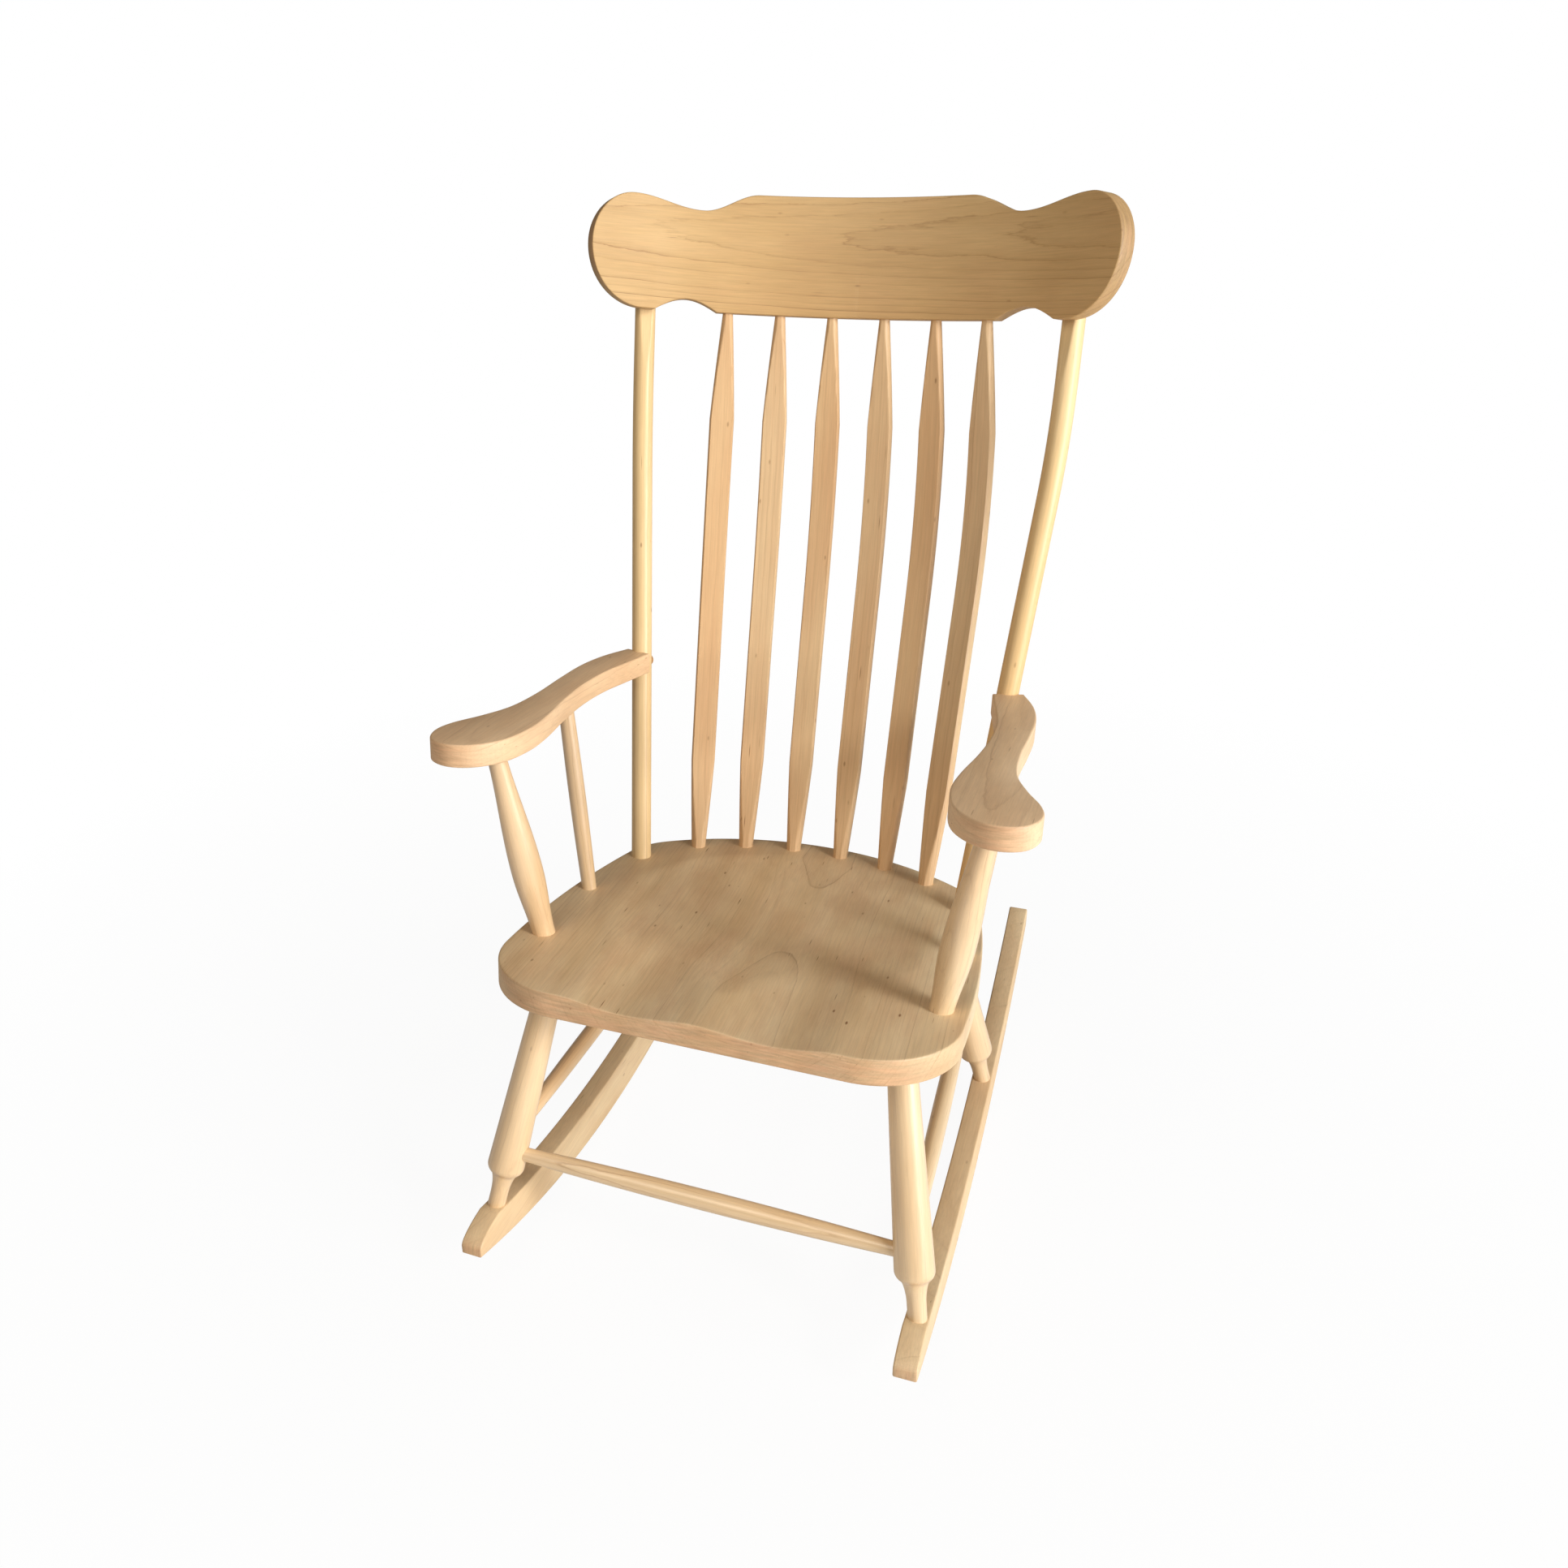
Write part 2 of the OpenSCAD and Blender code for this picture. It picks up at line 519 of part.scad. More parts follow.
// Everything above the straight lower edge of the crest rail
module over_crest_edge() on_crest() translate([-crest_w, -crest_r, crest_low - fit_gap / 2])
    cube([2 * crest_w, 2 * crest_r, crest_h * 2]);
module back_spindle(i, side) color(pink_maple) mirror_to(side) {
    difference() {
        spindle_shape(i);
        over_crest_edge();
    }
    spindle_top_frame(i) translate([0, 0, -1]) cylinder(d = spindle_tenon_d, h = spindle_tenon + 1);
}
module back_spindle_1() back_spindle(5, -1);
module back_spindle_2() back_spindle(3, -1);
module back_spindle_3() back_spindle(1, -1);
module back_spindle_4() back_spindle(1, 1);
module back_spindle_5() back_spindle(3, 1);
module back_spindle_6() back_spindle(5, 1);

// Crest rail: a bent board. Its top and bottom edges are given along the front face.
crest_half = crest_w / 2;
ear_c = crest_half - crest_ear; // place of the ear's highest point
ear_low_c = ear_c - crest_h * 0.13; // place of its lowest point
ear_mid = crest_h * 0.035; // height of its widest point
ear_top = crest_h * 0.455;
cusp = crest_half * 0.388; // end of the straight top edge
dip = crest_half * 0.588; // lowest point of the top edge
dip_z = crest_h * 0.35;
arch_in = crest_half * 0.521; // the small arch of the lower edge, from here
arch_out = crest_half * 0.752;
arch_rise = crest_h * 0.1;
function ear_edge(s, c, far) = let (u = (s - c) / (crest_half - c))
    ear_mid + (far - ear_mid) * sqrt(max(0, 1 - u * u));
function top_edge(s) = s < cusp ? crest_h / 2
    : s < dip ? wave(s, cusp, dip, crest_h / 2, dip_z)
    : s < ear_c ? wave(s, dip, ear_c, dip_z, ear_top)
    : ear_edge(s, ear_c, ear_top);
function low_edge(s) = s > arch_in && s < arch_out
    ? crest_low + arch_rise * sin(180 * (s - arch_in) / (arch_out - arch_in))
    : s <= ear_low_c ? crest_low : ear_edge(s, ear_low_c, crest_low);
// Places along the front face: even steps, then closer round the ear
ear_steps = [for (a = [10:10:90]) ear_c + (crest_ear - 0.5) * sin(a)];
half_steps = concat([for (i = [0:3]) cusp * i / 4], [for (i = [0:6]) cusp + (arch_in - cusp) * i / 7],
    [for (i = [0:8]) arch_in + (arch_out - arch_in) * i / 9],
    [for (i = [0:3]) arch_out + (ear_c - arch_out) * i / 4], [ear_c], ear_steps);
crest_steps = concat([for (i = [len(half_steps) - 1:-1:1]) -half_steps[i]], half_steps);
// Section of the board at one place: eight corners, with softened edges, from the front face round
function crest_section(s) =
    let (a = s / crest_r * 180 / PI, t = top_edge(abs(s)), b = low_edge(abs(s)),
        e = min(crest_edge, (t - b) / 4))
    [for (p = [[0, b + e], [0, t - e], [e, t], [crest_t - e, t], [crest_t, t - e], [crest_t, b + e],
        [crest_t - e, b], [e, b]])
        [(crest_r + p[0]) * sin(a), (crest_r + p[0]) * cos(a) - crest_r, p[1]]];
module crest_board() {
    n = len(crest_steps);
    points = [for (s = crest_steps) each crest_section(s)];
    sides = [for (i = [0:n - 2], k = [0:7]) let (a = 8 * i + k, b = 8 * i + (k + 1) % 8) [a, b, b + 8, a + 8]];
    polyhedron(points, concat([[for (k = [7:-1:0]) k]], sides, [[for (k = [0:7]) 8 * (n - 1) + k]]),
        convexity = 8);
}
module crest_rail() color(maple) difference() {
    on_crest() crest_board();
    for (side = [-1, 1]) mirror_to(side) {
        for (i = [1, 3, 5]) spindle_top_frame(i) translate([0, 0, -5])
            cylinder(d = spindle_tenon_d + 2 * fit_gap, h = spindle_tenon + 5 + fit_gap);
        for (up = crest_screw_ups) crest_screw_frame(up) pilot_bore(crest_screw_len);
    }
}

// Arms
module arm_blank() on_arm() translate([post_at_arm[0], post_at_arm[1], -arm_t])
    linear_extrude(arm_t) polygon([for (p = curve(arm_plan)) p * arm_scale]);
module arm(side) color(maple) mirror_to(side) difference() {
    arm_blank();
    post_foot_frame() cylinder(d = post_d + 2 * fit_gap, h = post_low);
    along(arm_post_top, arm_post_foot) translate([0, 0, -arm_socket - fit_gap])
        cylinder(d = arm_post_top_d + 2 * fit_gap, h = 2 * arm_socket);
    along(arm_spindle_top, arm_spindle_foot) translate([0, 0, -arm_socket - fit_gap])
        cylinder(d = arm_spindle_end_d + 2 * fit_gap, h = 2 * arm_socket);
    arm_screw_frame() pilot_bore(arm_screw_len);
}
module left_arm() arm(-1);
module right_arm() arm(1);
module arm_post(side) color(light_maple) mirror_to(side) {
    len = norm(arm_post_top - arm_post_foot);
    belly_z = len * 0.34;
    low = [for (i = [0:6]) let (z = belly_z * i / 6)
        [wave(z, 0, belly_z, arm_post_foot_d, arm_post_belly_d) / 2, z]];
    high = [for (i = [1:9]) let (z = belly_z + (len - belly_z) * i / 9)
        [wave(z, belly_z, len, arm_post_belly_d, arm_post_top_d) / 2, z]];
    along(arm_post_foot, arm_post_top) rotate_extrude() polygon(concat(
        [[0, -seat_socket], [arm_post_foot_d / 2, -seat_socket]], low, high,
        [[arm_post_top_d / 2, len + arm_socket], [0, len + arm_socket]]));
}
module left_arm_post() arm_post(-1);
module right_arm_post() arm_post(1);
module arm_spindle(side) color(light_maple) mirror_to(side) {
    len = norm(arm_spindle_top - arm_spindle_foot);
    belly = [for (i = [0:8]) [arm_spindle_end_d / 2
        + (arm_spindle_d - arm_spindle_end_d) / 2 * sin(22.5 * i), len * i / 8]];
    along(arm_spindle_foot, arm_spindle_top) rotate_extrude() polygon(concat(
        [[0, -seat_socket], [arm_spindle_end_d / 2, -seat_socket]], belly,
        [[arm_spindle_end_d / 2, len + arm_socket], [0, len + arm_socket]]));
}
module left_arm_spindle() arm_spindle(-1);
module right_arm_spindle() arm_spindle(1);

// Screws: z = 0 is the bottom of the head's bore, and the screw points along +z
arm_screw_turn = 45; // the arm screws slant from the inner rear of the post to the front and outside
crest_screw_ups = [28, 78]; // heights over the lower edge of the crest rail
module arm_screw_frame() post_foot_frame()
    translate([0, 0, post_to_arm])
        rotate([0, 0, crest_post_angle + arm_screw_turn - 90]) rotate([0, 90, 0])
            translate([0, 0, plug_bore - post_d / 2]) children();
module crest_screw_frame(up) post_top_frame()
    translate([0, 0, up]) rotate([90, 0, 0]) translate([0, 0, plug_bore - post_d / 2]) children();
module screw_bore(through) {
    translate([0, 0, -plug_bore - 2]) cylinder(d = plug_d + 2 * fit_gap, h = plug_bore + 2);
    translate([0, 0, -1]) cylinder(d = screw_d + 2 * fit_gap, h = through);
}
module pilot_bore(len) cylinder(d = screw_d + 2 * fit_gap, h = len + fit_gap);
module screw(len) {
    head_h = 2.4;
    translate([0, 0, -head_h]) cylinder(d = plug_d - 1.5, h = head_h);
    cylinder(d = screw_d, h = len);
}
// A plug fills the bore over the screw head and ends in a low mushroom head
module plug() {
    head_room = 2.5;
    rise = button_h;
    r = (button_d * button_d / 4 + rise * rise) / (2 * rise);
    translate([0, 0, -plug_bore]) {
        cylinder(d = plug_d, h = plug_bore - head_room);
        intersection() {
            translate([0, 0, r - rise - 0.2]) sphere(r = r);
            translate([0, 0, -rise - 0.2]) cylinder(d = button_d, h = rise + 0.2);
        }
    }
}
module arm_screws() color(steel) for (side = [-1, 1]) mirror_to(side) arm_screw_frame() screw(arm_screw_len);
module arm_plugs() color(maple) for (side = [-1, 1]) mirror_to(side) arm_screw_frame() plug();
module crest_screws() color(steel) for (side = [-1, 1], up = crest_screw_ups)
    mirror_to(side) crest_screw_frame(up) screw(crest_screw_len);
module crest_plugs() color(maple) for (side = [-1, 1], up = crest_screw_ups)
    mirror_to(side) crest_screw_frame(up) plug();

// Seat
module seat_sockets() {
    module socket(a, b, d) along(a, b) translate([0, 0, -seat_socket - fit_gap])
        cylinder(d = d + 2 * fit_gap, h = 2 * seat_socket);
    socket(arm_post_foot, arm_post_top, arm_post_foot_d);
    socket(arm_spindle_foot, arm_spindle_top, arm_spindle_end_d);
    along(front_leg_pt, front_foot_pt) translate([0, 0, -seat_socket - fit_gap])
        cylinder(d = leg_top_d + 2 * fit_gap, h = 2 * seat_socket);
    along(rear_leg_pt, rear_foot_pt) translate([0, 0, -seat_socket - fit_gap])
        cylinder(d = leg_top_d + 2 * fit_gap, h = 2 * seat_socket);
    post_foot_frame() translate([0, 0, -seat_socket - fit_gap])
        cylinder(d = post_d + 2 * fit_gap, h = 2 * seat_socket);
    for (i = [1, 3, 5]) spindle_foot_frame(i) translate([0, 0, -seat_socket - fit_gap])
        cylinder(d = spindle_foot_d + 2 * fit_gap, h = 2 * seat_socket);
}
dish_r = (dish_half_w * dish_half_w + dish_depth * dish_depth) / (2 * dish_depth);
scoop_r = (scoop_half_w * scoop_half_w + scoop_depth * scoop_depth) / (2 * scoop_depth);
dish_s = seat_back - 46 - dish_half_w; // the dish ends 46 mm inside the back edge
module saddle() {
    translate([0, dish_s, dish_r - dish_depth]) sphere(r = dish_r, $fn = 720);
    for (side = [-1, 1]) translate([side * scoop_apart / 2, -seat_front - 1, scoop_r - scoop_depth])
        rotate([-90, 0, 0]) cylinder(r = scoop_r, h = dish_half_w, $fn = 720);
}
module seat() color(maple) difference() {
    on_seat() difference() {
        translate([0, 0, -seat_t]) linear_extrude(seat_t) polygon(seat_outline);
        saddle();
    }
    for (side = [-1, 1]) mirror_to(side) seat_sockets();
}

seat();
left_rocker();
right_rocker();
front_left_leg();
front_right_leg();
rear_left_leg();
rear_right_leg();
front_stretcher();
rear_stretcher();
left_stretcher();
right_stretcher();
left_back_post();
right_back_post();
back_spindle_1();
back_spindle_2();
back_spindle_3();
back_spindle_4();
back_spindle_5();
back_spindle_6();
crest_rail();
left_arm();
right_arm();
left_arm_post();
right_arm_post();
left_arm_spindle();
right_arm_spindle();
arm_screws();
arm_plugs();
crest_screws();
crest_plugs();
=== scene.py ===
"""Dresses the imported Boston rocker: turned, bent and sawn maple pieces, each with its own grain."""

import math
from functools import partial

import bmesh
import bpy
import numpy as np
from mathutils import Matrix, Vector


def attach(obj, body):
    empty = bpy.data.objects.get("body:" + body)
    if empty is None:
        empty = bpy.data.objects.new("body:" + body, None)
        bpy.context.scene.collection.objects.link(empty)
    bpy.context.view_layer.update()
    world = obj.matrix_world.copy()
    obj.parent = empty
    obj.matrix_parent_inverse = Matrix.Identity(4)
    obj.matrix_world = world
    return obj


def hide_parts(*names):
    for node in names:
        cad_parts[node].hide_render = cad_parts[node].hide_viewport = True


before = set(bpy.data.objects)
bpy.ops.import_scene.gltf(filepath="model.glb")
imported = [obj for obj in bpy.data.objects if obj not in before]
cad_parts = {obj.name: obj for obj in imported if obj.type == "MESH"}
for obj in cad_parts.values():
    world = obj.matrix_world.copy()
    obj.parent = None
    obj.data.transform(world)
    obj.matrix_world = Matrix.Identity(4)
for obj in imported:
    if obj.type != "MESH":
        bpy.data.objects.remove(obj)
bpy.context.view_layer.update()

MM = 0.001
ROUND = 56  # points round a turned piece


# Sizes in millimetres, the same as the solids have

SEAT_HALF, SEAT_DEPTH, SEAT_THICK, SEAT_HIGH = 263.0, 512.0, 30.0, 363.0
SEAT_TILT, SEAT_FRONT = math.radians(7.65), 360.0
SEAT_BACK, SEAT_BACK_R = SEAT_DEPTH - SEAT_FRONT, 328.0
ARM_HIGH, ARM_TILT, ARM_THICK = 631.0, math.radians(6.85), 26.0
CREST_Y, CREST_Z, CREST_TILT = 282.0, 1082.0, math.radians(14.3)
CREST_R, CREST_THICK, CREST_HALF, CREST_TALL = 470.0, 20.0, 330.0, 138.0
ROCKER_LONG, ROCKER_WIDE, ROCKER_TALL = 862.0, 26.0, 53.0
RUN_R, TOP_R, CONTACT_Y = 1168.0, 1458.0, -26.0
ROCKER_X, ROCKER_TURN = 245.0, math.radians(1.0)  # at mid length; the toes stand wider apart
FRONT_FOOT_IN, REAR_FOOT_IN = 65.0, 337.0  # from the toe, and from the heel, of a rocker
FRONT_LEG_SIDE, FRONT_LEG_IN = 62.0, 90.0  # in from the side and from the front of the seat
REAR_LEG_SIDE, REAR_LEG_IN = 78.0, 97.0  # in from the side and from the back of the seat
POST_SIDE, POST_IN = 51.0, 126.0  # the same for a back post
POST_D, POST_TURN, POST_LAP = 25.4, math.radians(31.1), 3.0
POST_BEND, POST_BEND_AT = math.radians(8), 0.81


def vec(*p):
    return np.array(p, float)


def unit(v):
    return v / np.linalg.norm(v)


def seat_pt(x, s, up=0.0):
    """A point over the tilted seat: s runs to the rear along it, up stands square on it."""
    c, n = math.cos(SEAT_TILT), math.sin(SEAT_TILT)
    return vec(x, s * c + up * n, SEAT_HIGH - s * n + up * c)


def arm_pt(x, s, up=0.0):
    """The same for the tilted plane of the arms' flat tops."""
    c, n = math.cos(ARM_TILT), math.sin(ARM_TILT)
    return vec(x, s * c + up * n, ARM_HIGH - s * n + up * c)


def crest_pt(turn, up, back):
    """A point of the crest rail: angle round its arc, height along it, depth behind its front face."""
    off = (CREST_R + back) * math.cos(turn) - CREST_R
    c, n = math.cos(CREST_TILT), math.sin(CREST_TILT)
    return vec((CREST_R + back) * math.sin(turn), CREST_Y + up * n + off * c, CREST_Z + up * c - off * n)


def run_z(y, r):
    """Height over the floor of an arc of radius r that touches it at the point of contact."""
    return r - math.sqrt(r * r - (y - CONTACT_Y) ** 2)


def rocker_top(y):
    return ROCKER_TALL + run_z(y, TOP_R)


def foot_pt(y):
    """The middle of the right rocker's upper edge at y."""
    return vec(ROCKER_X - y * math.tan(ROCKER_TURN), y, rocker_top(y))


def mirrored(p, side):
    return vec(p[0] * side, p[1], p[2])


def at_height(a, b, z):
    """Where the line from a to b reaches height z."""
    return a + (b - a) * (z - a[2]) / (b[2] - a[2])


FRONT_FOOT = foot_pt(-ROCKER_LONG / 2 + FRONT_FOOT_IN)
REAR_FOOT = foot_pt(ROCKER_LONG / 2 - REAR_FOOT_IN)
FRONT_LEG_TOP = seat_pt(SEAT_HALF - FRONT_LEG_SIDE, FRONT_LEG_IN - SEAT_FRONT, -SEAT_THICK)
REAR_LEG_TOP = seat_pt(SEAT_HALF - REAR_LEG_SIDE, SEAT_BACK - REAR_LEG_IN, -SEAT_THICK)
POST_FOOT = seat_pt(SEAT_HALF - POST_SIDE, SEAT_BACK - POST_IN)
POST_TOP = crest_pt(POST_TURN, -CREST_TALL / 2, CREST_THICK + POST_D / 2 - POST_LAP)


# Bent sticks: straight, one bend to the front on a 1000 mm radius, straight

BEND_R = 1000.0


class BentPath:
    """Runs from foot to top. frame(t) gives the point, and the side, rear and upward directions there."""

    def __init__(self, foot, top, facing, bend, at):
        # The two straights, drawn on to the corner where they would meet, and the chord make a triangle
        chord = top - foot
        span = np.linalg.norm(chord)
        total = span / math.sqrt(1 - 2 * at * (1 - at) * (1 - math.cos(bend)))
        lean = math.asin((1 - at) * total * math.sin(bend) / span)
        c = unit(chord)
        out = vec(math.sin(facing), math.cos(facing), 0)
        rear = unit(out - (out @ c) * c)
        self.up = c * math.cos(lean) + rear * math.sin(lean)
        self.rear = rear * math.cos(lean) - c * math.sin(lean)
        self.foot, self.bend = foot, bend
        cut = BEND_R * math.tan(bend / 2)
        self.low = at * total - cut
        self.high = (1 - at) * total - cut
        self.length = self.low + self.high + BEND_R * bend

    def frame(self, t):
        turn = min(max((t - self.low) / BEND_R, 0.0), self.bend)
        up = self.up * math.cos(turn) - self.rear * math.sin(turn)
        rear = self.rear * math.cos(turn) + self.up * math.sin(turn)
        at_bend = self.foot + self.up * self.low
        p = at_bend - self.rear * BEND_R + rear * BEND_R
        if t < self.low:
            p = self.foot + self.up * t
        elif turn >= self.bend:
            p = p + up * (t - self.low - BEND_R * self.bend)
        return p, np.cross(rear, up), rear, up


POST = BentPath(POST_FOOT, POST_TOP, POST_TURN, POST_BEND, POST_BEND_AT)
ARM_UP = vec(0, math.sin(ARM_TILT), math.cos(ARM_TILT))
POST_TO_ARM = (arm_pt(0, 0, -ARM_THICK / 2) - POST_FOOT) @ ARM_UP / (POST.up @ ARM_UP)
POST_AT_ARM = (POST_FOOT + POST.up * POST_TO_ARM)[:2] / vec(1, math.cos(ARM_TILT))


# Materials


def hex_colour(code):
    """sRGB hex to linear."""
    out = []
    for i in (1, 3, 5):
        c = int(code[i : i + 2], 16) / 255
        out.append(c / 12.92 if c <= 0.04045 else ((c + 0.055) / 1.055) ** 2.4)
    return (*out, 1.0)


def add(tree, kind, *inputs, out=0, stops=(), **named):
    """Adds a node and returns one of its outputs. inputs go to its sockets in order. A name with a capital
    or a number, as in Base_Color or in6, is a socket too, and the others are the node's own settings. What
    goes in is another node's output, a value, or a colour as sRGB hex. stops are the places of a colour
    ramp, each with a colour or a grey level."""
    node = tree.nodes.new("ShaderNode" + kind)
    into = dict(enumerate(inputs))
    for key, value in named.items():
        if key[0].isupper():
            into[key.replace("_", " ")] = value
        elif key[:2] == "in" and key[2:].isdigit():
            into[int(key[2:])] = value
        else:
            setattr(node, key, value)
    for key, value in into.items():
        if isinstance(value, bpy.types.NodeSocket):
            tree.links.new(value, node.inputs[key])
        else:
            node.inputs[key].default_value = hex_colour(value) if isinstance(value, str) else value
    if stops:
        band = node.color_ramp.elements
        while len(band) < len(stops):
            band.new(0.5)
        for element, (place, colour) in zip(band, stops):
            element.position = place
            element.color = hex_colour(colour) if isinstance(colour, str) else (colour, colour, colour, 1)
    return node.outputs[out] if len(node.outputs) else None


def empty_tree(block):
    """The node tree of a new material or world, without its first nodes."""
    block.use_nodes = True
    block.node_tree.nodes.clear()
    return block.node_tree


def maple(name, pale, mid, line, ring_mm, strength, wave_mm, warm=0.0, fleck=1.0, rough=0.6,
          end_tone="#CB9C72", flame=False, seed=0, gloss=0.55, sheen=0.2):
    """Hard maple, sanded and unfinished: a pale close wood with thin brown growth lines, some clear and
    most faint, silky short streaks along the grain, a slow change of tone, and small dark flecks. The
    attribute grain holds millimetres along the grain and across it from the heart of the log, so the
    lines run through a piece as they do in a plank: long on its faces, and arcs on its ends. With flame
    they are smooth on one side of the heart and jagged over it. pale and mid are the wood's own tones,
    line the late wood's, ring_mm a year's growth, strength how clear the lines are, wave_mm how far
    they wander, warm the share of rosy patches, and sheen the silky shine that fine sanding leaves."""
    wood_kind = bpy.data.materials.new(name)
    node = partial(add, empty_tree(wood_kind))
    grain = node("Attribute", attribute_name="grain", out="Vector")
    end = node("Attribute", attribute_name="end_grain", out="Fac")

    def uneven(along, across, deep=None, detail=2.0, fine=0.5, stops=()):
        """Soft noise in patches so many millimetres long, wide and deep in the log, with its tones"""
        place = node("Mapping", grain, Scale=(1 / along, 1 / across, 1 / (deep or across)))
        cloud = node("TexNoise", place, Scale=1.0, Detail=detail, Roughness=fine)
        return node("ValToRGB", cloud, stops=stops) if stops else cloud

    def sway(cloud, reach):
        """Noise turned into millimetres to both sides"""
        return node("Math", cloud, reach, -reach / 2, operation="MULTIPLY_ADD")

    def product(*shares):
        """Shares multiplied together, and kept to 1"""
        whole = shares[0]
        for share in shares[1:]:
            whole = node("Math", whole, share, operation="MULTIPLY", use_clamp=True)
        return whole

    def flecks(along, across, share):
        """Dark flecks in a share of cells that long and wide, each as dark as a die says"""
        place = node("Mapping", grain, Scale=(1 / along, 1 / across, 1 / across))
        cell = node("TexVoronoi", place, Scale=1.0).node.outputs
        spot = node("ValToRGB", cell["Distance"], stops=[(0.035, 1.0), (0.105, 0.0)])
        dice = node("SeparateColor", cell["Color"]).node.outputs
        chosen = node("ValToRGB", dice[0], stops=[(1 - share, 0.0), (1.02 - share, 1.0)])
        darkness = node("Math", dice[1], 0.6, 0.4, operation="MULTIPLY_ADD")
        return product(spot, chosen, darkness)

    def laid_over(colour, *coats):
        """A colour with others over it. Each coat is a share, its colour, and how the two are mixed."""
        for share, coat, how in coats:
            colour = node("Mix", share, in6=colour, in7=coat, data_type="RGBA", blend_type=how, out=2)
        return colour

    # Growth lines: the distance from the heart, let wander, in years
    across_log = node("VectorMath", grain, (0, 1, 1), operation="MULTIPLY")
    radius = node("VectorMath", across_log, operation="LENGTH", out="Value")
    slow = sway(uneven(170, 60), wave_mm * 3.2)
    if flame:
        smooth_to, jag_reach = 72.0, 60.0  # below the heart the lines are smooth, and jagged farther up
        up = node("SeparateXYZ", grain, out="Y")
        rise = node("Math", up, 1 / jag_reach, smooth_to / jag_reach, operation="MULTIPLY_ADD")
        over_heart = node("ValToRGB", rise, stops=[(0.45, 0.15), (1.0, 1.0)])
        jagged = sway(uneven(70, 8, detail=4.0, fine=0.65), 5.5)
        jagged = node("Math", jagged, over_heart, operation="MULTIPLY")
    else:
        jagged = sway(uneven(30, 26, detail=3.0, fine=0.6), wave_mm * 1.2)
    wander = node("Math", slow, jagged, operation="ADD")
    from_heart = node("Math", radius, wander, operation="ADD")
    rings = node("Math", from_heart, ring_mm, operation="DIVIDE")
    one_year = [(0, 0.2), (0.06, 0), (0.66, 0.04), (0.9, 0.3), (0.965, 1), (1, 0.2)]
    edge = node("ValToRGB", node("Math", rings, operation="FRACT"), stops=one_year)
    year = node("Math", node("Math", rings, operation="FLOOR"), seed, operation="ADD")
    dice = node("TexWhiteNoise", noise_dimensions="1D", W=year)
    clear = node("ValToRGB", dice, stops=[(0, 0.1), (0.5, 0.35), (0.85, 0.8), (1, 1)])
    patchy = uneven(190, 24, stops=[(0.36, 0.4), (0.64, 1.0)])
    reach = node("Math", end, 0.6 * strength, strength, operation="MULTIPLY_ADD")
    lines = product(edge, clear, patchy, reach)

    # The faces. Fibres and pores are finer than 0.1 mm, so they are drawn 1 to 3 mm wide to show.
    tone = uneven(240, 46, detail=3.0, fine=0.55, stops=[(0.3, mid), (0.7, pale)])
    tree_tint = uneven(900, 700, stops=[(0.38, "#FFFFFF"), (0.62, "#FAF0E6")])
    blush = uneven(90, 40, detail=5.0, fine=0.62, stops=[(0.42, 0.0), (0.66, warm)])
    streak = uneven(60, 1.7, detail=4.0, fine=0.65, stops=[(0.28, 0.9), (0.72, 1.07)])
    dark = node("Math", flecks(42, 17, 0.6), flecks(110, 7, 0.5), operation="MAXIMUM")
    wood = laid_over(tone, (1.0, tree_tint, "MULTIPLY"), (blush, "#C4926A", "MIX"), (lines, line, "MIX"),
                     (1.0, streak, "MULTIPLY"), (product(dark, fleck), "#80502C", "MIX"))

    # The sawn ends: darker, rosy in patches, and porous
    pores = uneven(40, 34, 3, detail=4.0, fine=0.6, stops=[(0.3, 0.8), (0.7, 1.15)])
    rosy = uneven(70, 60, 7, detail=3.0, stops=[(0.42, 0.0), (0.66, 0.4)])
    sawn_end = laid_over(wood, (0.5, end_tone, "MIX"), (rosy, "#D7A27C", "MIX"), (1.0, pores, "MULTIPLY"))
    wood = laid_over(wood, (end, sawn_end, "MIX"))

    height = node("Math", lines, -0.35, uneven(30, 0.8), operation="MULTIPLY_ADD")
    bump = node("Bump", Height=height, Strength=0.22, Distance=0.00012)
    shine = uneven(50, 1.6, detail=3.0, stops=[(0.3, rough + 0.1), (0.7, rough - 0.1)])
    surface = node("BsdfPrincipled", wood, Roughness=shine, Normal=bump, IOR=1.45,
                   Specular_IOR_Level=gloss, Coat_Weight=sheen, Coat_Roughness=0.3)
    node("OutputMaterial", surface)
    return wood_kind


# The glued seat board, sanded over its saddle: a dull face, with loops where the hollows cut the lines
SEAT_WOOD = maple("maple_seat_board_sanded", "#EBD9B5", "#DCC49B", "#85572F",
                  ring_mm=5.0, strength=0.62, wave_mm=0.8, warm=0.3, rough=0.55)
# The rockers, sawn to shape and sanded: quiet wood with wide faint lines
BOARD = maple("maple_sawn_board_sanded", "#EED8B1", "#E0C49A", "#8E6036",
              ring_mm=8.0, strength=0.4, wave_mm=2.0, warm=0.2, fleck=0.6)
# The arms, sawn and sanded: a little rosier, with redder sawn ends
ARM_WOOD = maple("maple_arm_board_sanded", "#F4D9B4", "#E8C9A1", "#95623A",
                 ring_mm=8.0, strength=0.45, wave_mm=2.0, warm=0.2, fleck=0.6)
# The crest rail, bandsawn and sanded: darker, with clear brown lines and a jagged flame
CREST_WOOD = maple("maple_crest_board_bandsawn_and_sanded", "#D8B681", "#CCA873", "#84541F",
                   ring_mm=6.0, strength=0.95, wave_mm=1.4, warm=0.12, fleck=0.4,
                   end_tone="#7A6246", flame=True, seed=-1)
